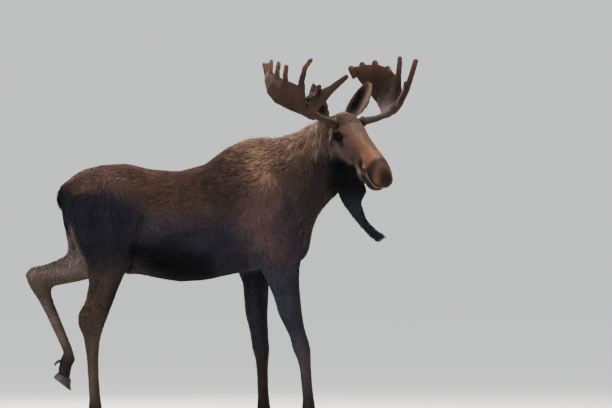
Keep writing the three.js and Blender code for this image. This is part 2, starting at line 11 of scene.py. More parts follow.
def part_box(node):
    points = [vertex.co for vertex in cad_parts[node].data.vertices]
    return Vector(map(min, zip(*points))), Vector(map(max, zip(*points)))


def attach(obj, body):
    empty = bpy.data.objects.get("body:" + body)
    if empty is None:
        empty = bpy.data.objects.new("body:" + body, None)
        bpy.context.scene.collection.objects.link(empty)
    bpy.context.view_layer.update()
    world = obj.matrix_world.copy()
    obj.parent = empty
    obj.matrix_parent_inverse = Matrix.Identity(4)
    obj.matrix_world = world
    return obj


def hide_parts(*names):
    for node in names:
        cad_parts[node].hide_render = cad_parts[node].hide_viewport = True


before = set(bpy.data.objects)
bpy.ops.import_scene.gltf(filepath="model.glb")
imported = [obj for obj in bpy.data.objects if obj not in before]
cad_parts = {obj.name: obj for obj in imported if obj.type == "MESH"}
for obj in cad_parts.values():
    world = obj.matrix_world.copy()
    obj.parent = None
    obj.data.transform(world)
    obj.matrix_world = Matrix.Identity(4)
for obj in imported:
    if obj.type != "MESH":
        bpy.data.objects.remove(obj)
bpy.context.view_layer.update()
rng = np.random.default_rng(7)


# Meshes as arrays
def pointsOf(mesh):
    flat = np.empty(len(mesh.vertices) * 3, np.float32)
    mesh.vertices.foreach_get("co", flat)
    return flat.reshape(-1, 3).astype(float)


def normalsOf(mesh):
    flat = np.empty(len(mesh.vertices) * 3, np.float32)
    mesh.vertex_normals.foreach_get("vector", flat)
    return flat.reshape(-1, 3).astype(float)


def edgesOf(mesh):
    flat = np.empty(len(mesh.edges) * 2, np.int32)
    mesh.edges.foreach_get("vertices", flat)
    return flat.reshape(-1, 2)


def trianglesOf(mesh):
    mesh.calc_loop_triangles()
    flat = np.empty(len(mesh.loop_triangles) * 3, np.int32)
    mesh.loop_triangles.foreach_get("vertices", flat)
    return flat.reshape(-1, 3)


def setPoints(mesh, points):
    mesh.vertices.foreach_set("co", points.astype(np.float32).ravel())
    mesh.update()


def makePiece(name, points, faces, smooth=True):
    mesh = bpy.data.meshes.new(name)
    mesh.vertices.add(len(points))
    mesh.vertices.foreach_set("co", np.asarray(points, np.float32).ravel())
    mesh.loops.add(faces.size)
    mesh.loops.foreach_set("vertex_index", faces.astype(np.int32).ravel())
    mesh.polygons.add(len(faces))
    mesh.polygons.foreach_set("loop_start", np.arange(0, faces.size, faces.shape[1], dtype=np.int32))
    mesh.polygons.foreach_set("use_smooth", np.full(len(faces), smooth))
    mesh.update(calc_edges=True)
    piece = bpy.data.objects.new(name, mesh)
    bpy.context.scene.collection.objects.link(piece)
    return piece


def addColour(mesh, name, values):
    layer = mesh.attributes.new(name, "FLOAT_COLOR", "POINT")
    layer.data.foreach_set("color", np.c_[values, np.ones(len(values))].astype(np.float32).ravel())


def addNumber(mesh, name, values):
    layer = mesh.attributes.new(name, "FLOAT", "POINT")
    layer.data.foreach_set("value", values.astype(np.float32))


def unitRows(rows):
    return rows / np.maximum(np.linalg.norm(rows, axis=1, keepdims=True), 1e-9)


# A smooth step from 0 below low to 1 above high
def ramp(value, low, high):
    t = np.clip((value - low) / (high - low), 0, 1)
    return t * t * (3 - 2 * t)


# Moves each row towards the mean of its neighbours along the mesh's edges, as often as rounds says
def spread(values, edges, rounds, share=1.0):
    a, b = edges.T
    count = np.maximum(np.bincount(a, minlength=len(values)) + np.bincount(b, minlength=len(values)), 1)
    values = values.reshape(len(values), -1).copy()
    share = np.broadcast_to(np.asarray(share, float), (len(values),))
    for _ in range(rounds):
        for column in values.T:
            total = np.bincount(a, column[b], len(column)) + np.bincount(b, column[a], len(column))
            column += share * (total / count - column)
    return values


def spreadOne(values, edges, rounds, share=1.0):
    return spread(np.asarray(values, float), edges, rounds, share)[:, 0]


# Smooth noise of about unit strength: a few waves in turned directions, bent by one another
def waves(points, scale, seed):
    pick = np.random.default_rng(seed)
    total = np.zeros(len(points))
    for octave in range(5):
        way = pick.normal(size=(3, 3))
        way = way / np.linalg.norm(way, axis=1, keepdims=True)
        at = points / scale * (1.0 + 0.37 * octave) * 2 * math.pi
        phase = pick.uniform(0, 2 * math.pi, 3)
        bend = np.sin(at @ way[1] * 0.61 + phase[1]) * 1.3 + np.sin(at @ way[2] * 0.83 + phase[2])
        total += np.sin(at @ way[0] + phase[0] + bend) / (1 + 0.3 * octave)
    return total / 2.2


# Copies of CAD nodes as one mesh, each grown a little so that neighbours overlap
def gather(nodes, swell):
    points, faces, labels = [], [], []
    start = 0
    for name in nodes:
        shape = bmesh.new()
        shape.from_mesh(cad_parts[name].data)
        bmesh.ops.remove_doubles(shape, verts=shape.verts, dist=1e-5)
        shape.normal_update()
        shape.verts.ensure_lookup_table()
        grow = swell.get(name, swell["all"])
        points += [v.co + v.normal * grow for v in shape.verts]
        faces += [[v.index + start for v in f.verts] for f in shape.faces]
        labels += [name] * len(shape.faces)
        start += len(shape.verts)
        shape.free()
    return points, faces, labels


# One closed surface round everything that the faces enclose
def remeshed(name, points, faces, voxel):
    mesh = bpy.data.meshes.new(name)
    mesh.from_pydata(points, [], faces)
    piece = bpy.data.objects.new(name, mesh)
    bpy.context.scene.collection.objects.link(piece)
    tool = piece.modifiers.new("remesh", "REMESH")
    tool.mode = "VOXEL"
    tool.voxel_size = voxel
    applyModifiers(piece)
    return piece


def applyModifiers(piece):
    bpy.context.view_layer.update()
    graph = bpy.context.evaluated_depsgraph_get()
    mesh = bpy.data.meshes.new_from_object(piece.evaluated_get(graph))
    piece.modifiers.clear()
    old = piece.data
    piece.data = mesh
    bpy.data.meshes.remove(old)


# One smooth finish all over a piece
def dress(piece, material):
    piece.data.polygons.foreach_set("use_smooth", np.ones(len(piece.data.polygons), bool))
    piece.data.materials.clear()
    piece.data.materials.append(material)


# Places on the animal, from the frame
legNames = ["fore_right", "fore_left", "hind_right", "hind_left"]
fleshNodes = ["trunk", "neck", "head", "bell", "tail", "ear_right", "ear_left"]
fleshNodes += [f"leg_{leg}_{part}" for leg in legNames for part in ("upper", "lower")]
# The leg above each hoof and dewclaw; the skin runs on inside each hoof as part of that leg
hornLegs = {
    f"{kind}_{leg}_{which}": f"leg_{leg}_lower"
    for leg in legNames
    for which in ("outer", "inner")
    for kind in ("hoof", "dewclaw")
}


def middleOf(node):
    low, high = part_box(node)
    return (low + high) / 2


# The eyeballs' nodes count as head
def isHeadNode(node):
    return (node == "head") | np.char.startswith(node, "eye")


trunkLow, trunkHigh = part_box("trunk")
trunkLength = trunkHigh.x - trunkLow.x
midline = middleOf("trunk").y

headTurn = {"yaw": 56, "pitch": 36, "roll": 4, "browToEyes": (0.082, 0, -0.084)}
headAxes = (
    Matrix.Rotation(math.radians(-headTurn["yaw"]), 3, "Z")
    @ Matrix.Rotation(math.radians(headTurn["pitch"]), 3, "Y")
    @ Matrix.Rotation(math.radians(headTurn["roll"]), 3, "X")
)
betweenEyes = (middleOf("eye_right") + middleOf("eye_left")) / 2
browPlace = betweenEyes - headAxes @ Vector(headTurn["browToEyes"])


# To and from the head's own axes: x from brow to muzzle, y to its left, z up from the forehead
def toHead(points):
    return (points - np.array(browPlace)) @ np.array(headAxes)


def fromHead(points):
    return points @ np.array(headAxes).T + np.array(browPlace)


# The skin: one closed surface through all the flesh
skinMake = {
    "voxel": 0.0075,
    "swell": 0.0007,
    "earSwell": 0.003,
    "bodyRounds": 70,
    "legRounds": 14,
    "headRounds": 4,
    "giveBack": 2,
    "thighTop": 1.15,
    "hornSink": 0.005,
    "kept": 95000,
}
# The part of the head that gets more points (in the head's axes), and how fine its edges get
headFine = {
    "back": -0.05,
    "front": 0.62,
    "halfWide": 0.2,
    "low": -0.32,
    "high": 0.08,
    "edge": 0.0055,
    "fineEdge": 0.0026,
    "rounds": 4,
    "lidReach": 0.055,
    "slitReach": 0.018,
    "slitOut": 0.02,
}


# Which of the named nodes lies nearest to each point, as its place in the list
def labelRows(points, tree, labels, names):
    index = {name: i for i, name in enumerate(names)}
    return np.array([index[labels[tree.find_nearest(Vector(p))[2]]] for p in points])


def smoothPoints(mesh, rounds, share):
    setPoints(mesh, spread(pointsOf(mesh), edgesOf(mesh), rounds, share))


# Smooths away the facets, then gives back the bulk that the smoothing took
def roundOff(mesh, rounds, share):
    edges, before = edgesOf(mesh), pointsOf(mesh)
    after = spread(before, edges, rounds, share)
    for _ in range(skinMake["giveBack"]):
        after = after + spread(before - after, edges, rounds, share)
    setPoints(mesh, after)


def makeSkin():
    swell = {ear: skinMake["earSwell"] for ear in ("ear_right", "ear_left")}
    swell["all"] = skinMake["swell"]
    nodes = fleshNodes + ["eye_right", "eye_left"] + [n for n in hornLegs if n.startswith("hoof")]
    points, faces, labels = gather(nodes, swell)
    tree = BVHTree.FromPolygons(points, faces)
    skin = remeshed("skin", points, faces, skinMake["voxel"])
    flesh = np.array([hornLegs.get(n, n) for n in nodes])
    node = flesh[labelRows(pointsOf(skin.data), tree, labels, nodes)]
    thigh = np.char.endswith(node, "upper") & (pointsOf(skin.data)[:, 2] > skinMake["thighTop"])
    edges = edgesOf(skin.data)
    # Broad smoothing on the barrel and less on legs and head, faded across their joins
    barrel = spreadOne(np.isin(node, ["trunk", "neck"]) | thigh, edges, 12)
    legs = spreadOne(np.char.startswith(node, "leg"), edges, 6)
    roundOff(skin.data, skinMake["bodyRounds"], barrel)
    roundOff(skin.data, skinMake["legRounds"], np.clip(legs + barrel, 0, 1) * 0.8)
    smoothPoints(skin.data, skinMake["headRounds"], 0.5)
    # Fewer faces where the form is broad
    tool = skin.modifiers.new("fewer", "DECIMATE")
    tool.ratio = skinMake["kept"] / len(trianglesOf(skin.data))
    applyModifiers(skin)
    refineHead(skin)
    print("skin remeshed:", len(skin.data.vertices), "points")
    return skin, tree, labels, nodes


# More points where the face needs them, and most round the eyes, the nostrils and the mouth
def refineHead(skin):
    for _ in range(headFine["rounds"]):
        shape = bmesh.new()
        shape.from_mesh(skin.data)
        shape.verts.ensure_lookup_table()
        places = toHead(np.array([v.co for v in shape.verts]))
        x, y, z = places.T
        inHead = (x > headFine["back"]) & (x < headFine["front"]) & (np.abs(y) < headFine["halfWide"])
        inHead &= (z > headFine["low"]) & (z < headFine["high"])
        fine = np.linalg.norm(np.abs(places) - np.abs(eyeMake["place"]), axis=1) < headFine["lidReach"]
        for line in (nostrilMake["line"], mouthMake["line"], lipMake["groove"]):
            near = distanceToLine(x, z, line) < headFine["slitReach"]
            fine |= near & (np.abs(y) > headFine["slitOut"])
        limit = np.where(inHead, np.where(fine, headFine["fineEdge"], headFine["edge"]), 1.0)
        edges = [e for e in shape.edges if e.calc_length() > max(limit[v.index] for v in e.verts)]
        bmesh.ops.subdivide_edges(shape, edges=edges, cuts=1)
        bmesh.ops.triangulate(shape, faces=shape.faces)
        shape.to_mesh(skin.data)
        shape.free()
        places = toHead(pointsOf(skin.data))
        smoothPoints(skin.data, 2, 0.5 * ramp(places[:, 0], headFine["back"], 0.0))


# Eyes in the head's axes: the left one's place, how far the ball sits in, and the opening's half sizes
eyeMake = {
    "place": (0.082, 0.088, -0.084),
    "sink": 0.008,
    "radius": 0.0205,
    "lidThick": 0.0042,
    "halfLong": 0.0225,
    "halfHigh": 0.0140,
    "slant": -14,
    "bulge": 0.045,
}
# Places across the lids as shares of the opening (1 is its edge): a crease above and a pouch below
# (place, width, height), where the lid begins and where it has run out on to the face
lidMake = {
    "reach": 0.075,
    "lowerShare": 0.8,
    "begins": (0.92, 1.12),
    "runsOut": (1.35, 2.5),
    "crease": (1.75, 0.18, -0.0028),
    "pouch": (2.1, 0.35, 0.0025),
}


# Eye centre and its local axes (along the lids, across them, out of the head), in head axes
def eyeAxes(side):
    along, up, out = Vector((1, side * -0.10, 0)), Vector((0, 0, 1)), Vector((0.10, side, 0.12))
    out.normalize()
    turn = Matrix.Rotation(math.radians(eyeMake["slant"]) * side, 3, out)
    along = turn @ (along - out * along.dot(out)).normalized()
    up = out.cross(along) * side
    if up.z < 0:
        up = -up
    x, y, z = eyeMake["place"]
    return np.array((x, side * (y - eyeMake["sink"]), z)), np.array(along), np.array(up), np.array(out)


# Lids: a raised almond rim over the eyeball, the skin inside it drawn back behind the ball
def shapeLids(places):
    def ridge(r, place, width, height):
        return height * np.exp(-(((r - place) / width) ** 2))

    for side in (-1, 1):
        centre, along, up, out = eyeAxes(side)
        off = places - centre
        a, u, o = off @ along, off @ up, off @ out
        near = (np.linalg.norm(off, axis=1) < lidMake["reach"]) & (o > -0.01)
        high = np.where(u > 0, eyeMake["halfHigh"], eyeMake["halfHigh"] * lidMake["lowerShare"])
        r = np.hypot(a / eyeMake["halfLong"], u / high)
        flat = np.hypot(a, u)
        rim = eyeMake["radius"] + eyeMake["lidThick"]
        onLid = np.sqrt(np.maximum(rim**2 - np.minimum(flat, rim * 0.98) ** 2, 0))
        inside = np.sqrt(np.maximum((eyeMake["radius"] - 0.004) ** 2 - flat**2, 0)) * 0.9
        hold = 1 - ramp(r, *lidMake["runsOut"])
        wanted = np.where(r < 1.0, inside, np.maximum(onLid, o * (1 - hold)))
        crease = ridge(r, *lidMake["crease"]) * (u > 0)
        pouch = ridge(r, *lidMake["pouch"]) * (u < 0)
        lid = o * (1 - hold) + wanted * hold + (crease + pouch) * (r > 1.1)
        opened = ramp(r, *lidMake["begins"])
        target = inside * (1 - opened) + lid * opened
        places = places + (np.where(near, target - o, 0))[:, None] * out
    return places


# The face's slits, grooves and folds as lines seen from the side, in the head's axes, with how deep
# or high each one is and how wide
nostrilMake = {
    "line": [(0.322, -0.068), (0.331, -0.080), (0.340, -0.095), (0.346, -0.111), (0.343, -0.124)],
    "depth": 0.014,
    "width": 0.0105,
    "rim": 0.0040,
    "rimWidth": 0.006,
    "rimOut": 0.015,
    "knob": (0.384, -0.091),
    "knobHigh": 0.0065,
    "knobWidth": 0.013,
}
mouthMake = {
    "line": [(0.332, -0.190), (0.352, -0.181), (0.385, -0.176), (0.430, -0.172), (0.475, -0.172),
             (0.512, -0.170)],
    "depth": 0.011,
    "width": 0.0050,
    "lip": 0.0035,
    "lipWidth": 0.008,
    "lipOut": 0.015,
}
lipMake = {
    "groove": [(0.408, -0.094), (0.439, -0.100), (0.478, -0.113), (0.514, -0.126), (0.536, -0.132)],
    "depth": 0.0045,
    "width": 0.0050,
    "rim": [(0.425, -0.116), (0.468, -0.132), (0.502, -0.144), (0.530, -0.150)],
    "rimHigh": 0.0030,
    "rimWidth": 0.007,
}
tearLine = [(0.112, -0.094), (0.146, -0.108), (0.176, -0.118)]
tearGroove = {"line": tearLine, "depth": 0.005, "width": 0.007}
cheekLine = [(0.120, -0.135), (0.200, -0.140), (0.290, -0.136)]
cheekEdge = {"line": cheekLine, "high": 0.006, "width": 0.013}
mouthFolds = {"middle": (0.318, -0.168), "half": (0.026, 0.034), "high": 0.0032, "waves": (300, 90)}
cheekHollow = {"middle": (0.255, -0.105), "half": (0.05, 0.035), "depth": 0.006}
lipFurrow = {"depth": 0.004, "width": 0.006}


def distanceToLine(x, z, line):
    best = np.full(len(x), 1e9)
    for (ax, az), (bx, bz) in zip(line, line[1:]):
        length = (bx - ax) ** 2 + (bz - az) ** 2
        t = np.clip(((x - ax) * (bx - ax) + (z - az) * (bz - az)) / length, 0, 1)
        best = np.minimum(best, np.hypot(x - ax - t * (bx - ax), z - az - t * (bz - az)))
    return best


# How much of a bump or hollow each point gets, 1 at its middle: along a line, or round a place
def nearLine(x, z, line, width, offset=0.0):
    return np.exp(-(((distanceToLine(x, z, line) - offset) / width) ** 2))


def nearPlace(x, z, middle, half):
    return np.exp(-(((x - middle[0]) / half[0]) ** 2 + ((z - middle[1]) / half[1]) ** 2))


def shapeFace(places, normals):
    x, y, z = places.T
    side = np.abs(y)
    push = np.zeros(len(places))
    onSide, onCheek = ramp(side, 0.022, 0.036), ramp(side, 0.04, 0.06)
    # Nostrils: a comma-shaped slit, the fold behind it and the knob of its wing in front
    make = nostrilMake
    opened = ramp(-z, 0.064, 0.104)
    push -= onSide * opened * make["depth"] * nearLine(x, z, make["line"], make["width"])
    push += onSide * make["rim"] * nearLine(x, z, make["line"], make["rimWidth"], make["rimOut"])
    push += onSide * make["knobHigh"] * nearPlace(x, z, make["knob"], [make["knobWidth"]] * 2)
    # Mouth: a line from the corner to the front, with full lips on both sides of it
    make = mouthMake
    front = ramp(x, 0.320, 0.345)
    push -= front * make["depth"] * nearLine(x, z, make["line"], make["width"])
    push += front * make["lip"] * nearLine(x, z, make["line"], make["lipWidth"], make["lipOut"])
    # The pad's lower edge, and the raised rim of the upper lip under it
    make = lipMake
    push -= onSide * make["depth"] * nearLine(x, z, make["groove"], make["width"])
    push += onSide * make["rimHigh"] * nearLine(x, z, make["rim"], make["rimWidth"])
    # A groove from the eye's inner corner, the cheek's edge and folds behind the mouth's corner
    tear = nearLine(x, z, tearGroove["line"], tearGroove["width"])
    push -= ramp(side, 0.05, 0.07) * tearGroove["depth"] * tear
    push += onCheek * cheekEdge["high"] * nearLine(x, z, cheekEdge["line"], cheekEdge["width"])
    across, down = mouthFolds["waves"]
    folds = nearPlace(x, z, mouthFolds["middle"], mouthFolds["half"])
    folds *= np.sin((x - 0.29) * across + z * down)
    push += ramp(side, 0.03, 0.05) * mouthFolds["high"] * folds
    # The cheeks fall in before the nostrils, and a furrow runs down the front of the upper lip
    push -= onCheek * cheekHollow["depth"] * nearPlace(x, z, cheekHollow["middle"], cheekHollow["half"])
    furrow = np.exp(-((y / lipFurrow["width"]) ** 2)) * ramp(x, 0.47, 0.52) * ramp(z, -0.165, -0.14)
    push -= lipFurrow["depth"] * furrow
    return places + push[:, None] * normals


# Hollows (below 0) and ridges on the body's sides, each a line seen from the side, its height and its
# width: the folds before the stifle, the hamstring's edge, folds behind the elbow, the shoulder's
# edges, the hocks, the knees and the ruff's edge
bodyFolds = {
    "right": [
        ([(-0.470, 1.30), (-0.498, 1.18), (-0.520, 1.07), (-0.545, 0.99)], -0.0144, 0.017),
        ([(-0.520, 1.30), (-0.548, 1.18), (-0.566, 1.08)], 0.0096, 0.022),
        ([(-0.930, 1.40), (-0.905, 1.26), (-0.880, 1.14)], -0.0096, 0.014),
        ([(0.040, 1.130), (0.135, 1.105), (0.205, 1.045)], -0.0080, 0.011),
        ([(0.075, 1.080), (0.160, 1.060), (0.220, 0.990)], -0.0096, 0.011),
        ([(0.130, 1.010), (0.190, 1.000), (0.235, 0.960)], -0.0080, 0.010),
        ([(0.420, 1.060), (0.465, 1.150), (0.480, 1.260)], -0.0112, 0.020),
        ([(0.200, 1.640), (0.235, 1.480), (0.290, 1.330)], 0.0080, 0.045),
        ([(0.150, 1.420), (0.170, 1.280), (0.200, 1.150)], -0.0096, 0.040),
        ([(-0.800, 0.735), (-0.768, 0.840), (-0.745, 0.900)], -0.0096, 0.013),
        ([(-0.700, 0.990), (-0.735, 0.900), (-0.770, 0.800)], -0.0064, 0.016),
        ([(0.350, 0.900), (0.385, 0.800), (0.400, 0.720)], -0.0064, 0.016),
        ([(0.566, 1.880), (0.580, 1.840), (0.576, 1.780), (0.566, 1.690)], 0.0112, 0.012),
        ([(0.600, 1.860), (0.606, 1.790), (0.600, 1.700)], -0.0096, 0.014),
    ],
    "left": [
        ([(-0.470, 1.30), (-0.498, 1.18), (-0.530, 1.08), (-0.600, 1.00)], -0.0144, 0.017),
        ([(-0.520, 1.30), (-0.556, 1.20), (-0.610, 1.11)], 0.0096, 0.022),
        ([(-0.930, 1.40), (-0.925, 1.28), (-0.915, 1.18)], -0.0096, 0.014),
        ([(-0.060, 1.110), (0.030, 1.085), (0.090, 1.030)], -0.0096, 0.011),
        ([(0.000, 1.040), (0.070, 1.020), (0.110, 0.970)], -0.0080, 0.010),
        ([(0.330, 1.040), (0.400, 1.130), (0.440, 1.260)], -0.0112, 0.020),
        ([(0.200, 1.640), (0.225, 1.480), (0.260, 1.330)], 0.0080, 0.045),
        ([(0.100, 1.420), (0.110, 1.280), (0.120, 1.150)], -0.0096, 0.040),
        ([(-1.060, 0.955), (-0.985, 0.985), (-0.915, 1.020)], -0.0096, 0.012),
        ([(0.180, 0.880), (0.200, 0.800), (0.205, 0.720)], -0.0064, 0.016),
    ],
}


def foldBody(points, normals, onBody):
    x, y, z = points.T
    push = np.zeros(len(points))
    for side, lines in bodyFolds.items():
        way = -1 if side == "right" else 1
        outer = ramp(way * (y - midline), 0.02, 0.07) * ramp(way * normals[:, 1], 0.1, 0.5)
        for line, height, width in lines:
            push += outer * height * nearLine(x, z, line, width)
    return points + (push * onBody)[:, None] * normals


# What the coat is like, zone by zone: depth from skin to tips, length and width of a tuft, thousands
# of tufts to the square metre, and how much their tones differ
coatKeys = ("depth", "long", "wide", "dense", "mottle")
coatZones = {
    "back": (0.0120, 0.042, 0.0036, 19, 1.50),
    "hump": (0.0200, 0.062, 0.0044, 19, 1.80),
    "flank": (0.0090, 0.034, 0.0032, 20, 0.95),
    "belly": (0.0100, 0.034, 0.0034, 17, 0.45),
    "haunch": (0.0080, 0.030, 0.0030, 22, 0.45),
    "neck": (0.0150, 0.050, 0.0038, 22, 1.30),
    "throat": (0.0170, 0.062, 0.0040, 24, 0.50),
    "bell": (0.0100, 0.044, 0.0036, 34, 0.50),
    "tail": (0.0110, 0.046, 0.0036, 26, 0.50),
    "face": (0.0034, 0.012, 0.0016, 70, 1.00),
    "brow": (0.0070, 0.021, 0.0021, 55, 0.80),
    "poll": (0.0120, 0.034, 0.0028, 44, 1.10),
    "muzzle": (0.0018, 0.006, 0.0010, 100, 0.40),
    "ear": (0.0040, 0.012, 0.0015, 60, 0.70),
    "gaskin": (0.0060, 0.026, 0.0030, 30, 0.40),
    "shank": (0.0046, 0.017, 0.0020, 40, 0.55),
    "foot": (0.0042, 0.014, 0.0018, 46, 0.60),
}
zoneNames = list(coatZones)
coatMake = {
    "fadeRounds": 12,
    "thinZones": ["bell", "gaskin", "shank", "foot"],
    "thinSink": 0.55,
    "bellEnd": 0.6,
    "jitter": 0.13,
    "clumpEvery": 14,
    "clumpPull": 0.35,
    "patch": 0.003,
    "parting": 0.56,
    "gain": 0.62,
    # How much darker the skin between the tufts is, as painted shade under the hair
    "skinShade": 0.75,
}
# Heights above the floor (footHigh above the hoof) and places along the trunk where zones change, and
# places in the head's axes
zoneEdges = {
    "thigh": 1.0,
    "foreShank": 0.86,
    "footHigh": 0.16,
    "haunch": 0.16,
    "hump": 0.62,
    "humpDeep": 0.30,
    "throatLow": 1.3,
    "jaw": -0.20,
    "brow": 0.06,
    "poll": (-0.01, -0.075),
    "muzzle": 0.40,
    "pad": 0.33,
}


# The way down a limb, from its top share of points to its bottom share
def axisOf(node, share=0.2):
    points = pointsOf(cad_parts[node].data)
    z = points[:, 2]
    low = points[z < np.quantile(z, share)].mean(0)
    high = points[z > np.quantile(z, 1 - share)].mean(0)
    return (low - high) / np.linalg.norm(low - high)


# Which zone each point of the skin belongs to
def zoneOf(points, normals, found, nodes):
    node = np.array(nodes)[found]
    x, _, z = points.T
    along = (x - trunkLow.x) / trunkLength
    head = toHead(points)
    zone = np.full(len(points), zoneNames.index("flank"))

    def mark(name, rows):
        zone[rows] = zoneNames.index(name)

    trunk = node == "trunk"
    mark("back", trunk & (normals[:, 2] > 0.35))
    mark("belly", trunk & (normals[:, 2] < -0.35))
    mark("haunch", trunk & (along < zoneEdges["haunch"]))
    neck = node == "neck"
    mark("neck", neck)
    onHump = (along > zoneEdges["hump"]) & (z > trunkHigh.z - zoneEdges["humpDeep"])
    mark("hump", (trunk | neck) & onHump & (normals[:, 2] > -0.1))
    onThroat = (head[:, 2] < zoneEdges["jaw"]) & (z > zoneEdges["throatLow"])
    mark("throat", neck & onThroat & (normals[:, 2] < 0.2))
    for leg in legNames:
        upper, lower = node == f"leg_{leg}_upper", node == f"leg_{leg}_lower"
        mark("haunch" if leg.startswith("hind") else "flank", upper & (z > zoneEdges["thigh"]))
        mark("gaskin", upper & (z <= zoneEdges["thigh"]))
        foreShank = leg.startswith("fore") & upper & (z < zoneEdges["foreShank"])
        mark("shank", lower | foreShank)
        mark("foot", lower & (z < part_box(f"leg_{leg}_lower")[0].z + zoneEdges["footHigh"]))
    mark("bell", node == "bell")
    mark("tail", node == "tail")
    mark("ear", np.char.startswith(node, "ear"))
    inHead = isHeadNode(node)
    mark("face", inHead)
    mark("brow", inHead & (head[:, 0] < zoneEdges["brow"]))
    mark("poll", inHead & (head[:, 0] < zoneEdges["poll"][0]) & (head[:, 2] > zoneEdges["poll"][1]))
    mark("muzzle", inHead & (head[:, 0] > zoneEdges["muzzle"]))
    return zone


# Which way the hair lies, before it is laid on the skin. The ruff hangs down behind the jaw, and the
# face's way is in the head's axes.
hairLie = {
    "belly": (-1.0, 0.0, -0.35),
    "back": (-1, 0, 0),
    "side": (-0.85, 0, -0.62),
    "rump": (-0.45, 0, -0.9),
    "neck": (0.1, 0, -0.35),
    "ruff": (-0.12, 0, -1.0),
    "leg": (0.10, 0, 0),
    "face": (-1, 0, -0.28),
    "tail": (-0.3, 0, -1),
}


def flowOf(points, normals, found, nodes):
    node = np.array(nodes)[found]
    flow = np.tile(hairLie["belly"], (len(points), 1))
    trunk = node == "trunk"
    flow[trunk & (normals[:, 2] > 0.5)] = hairLie["back"]
    flow[trunk & (np.abs(normals[:, 2]) <= 0.5)] = hairLie["side"]
    flow[trunk & (points[:, 0] < trunkLow.x + 0.2)] = hairLie["rump"]
    neckAxis = np.array(middleOf("trunk") - browPlace)
    neckAxis = neckAxis / np.linalg.norm(neckAxis)
    hanging = ramp(points[:, 0], 0.46, 0.58)[:, None]
    lie = (1 - hanging) * (neckAxis + hairLie["neck"]) + hanging * np.array(hairLie["ruff"])
    flow[node == "neck"] = lie[node == "neck"]
    for leg in legNames:
        for part in ("upper", "lower"):
            flow[node == f"leg_{leg}_{part}"] = axisOf(f"leg_{leg}_{part}") + hairLie["leg"]
    flow[isHeadNode(node)] = headAxes @ Vector(hairLie["face"])
    for ear in ("ear_right", "ear_left"):
        flow[node == ear] = -axisOf(ear)
    # The bell's hair follows its bends
    bell = pointsOf(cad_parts["bell"].data)
    curveX, curveY = np.polyfit(bell[:, 2], bell[:, 0], 3), np.polyfit(bell[:, 2], bell[:, 1], 2)
    rows = node == "bell"
    z = points[rows, 2]
    slopes = np.polyval(np.polyder(curveX), z), np.polyval(np.polyder(curveY), z)
    flow[rows] = unitRows(np.c_[-slopes[0], -slopes[1], -np.ones(len(z))])
    flow[node == "tail"] = hairLie["tail"]
    return flow


# A colour as seen in daylight, from 0 to 255, as the shaders take it
def daylight(red, green, blue):
    value = np.array((red, green, blue)) / 255
    return np.where(value <= 0.04045, value / 12.92, ((value + 0.055) / 1.055) ** 2.4)


seenColours = {
    "back": (96, 74, 65),
    "rump": (104, 82, 74),
    "hump": (180, 146, 124),
    "shade": (78, 64, 61),
    "flank": (70, 62, 66),
    # Dark grey hair with a painted bluish sheen
    "blue": (56, 55, 65),
    "black": (12, 12, 14),
    "haunch": (45, 44, 53),
    "shoulder": (112, 90, 87),
    "chest": (84, 76, 84),
    "elbow": (62, 60, 69),
    "crest": (146, 119, 104),
    "neck": (94, 78, 73),
    "neckLow": (76, 68, 73),
    "throat": (28, 26, 29),
    "bell": (56, 57, 63),
    "pale": (138, 121, 114),
    "ruff": (206, 182, 168),
    "tan": (108, 88, 74),
    "shank": (92, 77, 68),
    "shankFront": (60, 54, 52),
    "cannon": (98, 84, 75),
    "foreLeg": (68, 67, 77),
    "foreCannon": (84, 76, 73),
    "mud": (40, 35, 32),
    "forehead": (104, 80, 70),
    "bridge": (118, 85, 70),
    "cheek": (98, 80, 74),
    "jaw": (114, 97, 91),
    "muzzle": (138, 97, 76),
    # Dark brown, laid as painted shade across the muzzle and round the nostrils, and on the lower lip
    "band": (52, 37, 31),
    "pad": (108, 77, 62),
    "padSide": (46, 34, 29),
    "knob": (178, 146, 128),
    "folds": (150, 128, 120),
    "temple": (54, 45, 43),
    "earBack": (116, 86, 68),
    "earRim": (170, 149, 136),
    "earInside": (124, 108, 96),
    "earHollowShade": (36, 30, 28),
}
coatColours = {name: daylight(*seen) for name, seen in seenColours.items()}

# Markings seen from the side, laid one over another: colour, middle, half sizes, how far each fades
# (a share of its size) and how strong it is
bodyMarks = [
    ("shade", (0.04, 1.52), (0.14, 0.16), 0.6, 0.8),
    # The shoulder's reddish brown is partly its hair and partly a painted soft highlight
    ("shoulder", (0.29, 1.26), (0.18, 0.30), 0.5, 0.9),
    ("chest", (0.45, 1.22), (0.10, 0.30), 0.6, 0.8),
    ("hump", (0.24, 1.68), (0.15, 0.17), 0.6, 0.8),
    ("shade", (0.13, 1.58), (0.05, 0.10), 0.8, 0.7),
    # Black under the barrel: dark belly hair with painted shadow under it
    ("black", (-0.36, 1.085), (0.19, 0.085), 0.35, 0.95),
    ("black", (-0.24, 1.00), (0.26, 0.060), 0.45, 0.85),
    ("elbow", (0.10, 1.04), (0.16, 0.09), 0.6, 0.8),
    # Mid flank: dark hair with a painted bluish sheen
    ("blue", (-0.18, 1.16), (0.16, 0.05), 0.7, 0.7),
    # Black along the underside further forward: dark hair with painted shadow under the barrel
    ("black", (0.02, 0.955), (0.22, 0.035), 0.6, 0.6),
]
# Along the trunk (0 at the rump, 1 at the chest): the back's height, how far down the brown reaches
# and how softly it ends
topLine = ([0, 0.15, 0.4, 0.6, 0.8, 1], [1.56, 1.62, 1.57, 1.63, 1.78, 1.78])
brownReach = (
    [0, 0.10, 0.25, 0.34, 0.50, 0.66, 0.80, 1],
    [0.14, 0.17, 0.17, 0.21, 0.25, 0.28, 0.42, 0.55],
)
brownFade = ([0, 0.28, 0.45, 1], [0.045, 0.05, 0.13, 0.20])
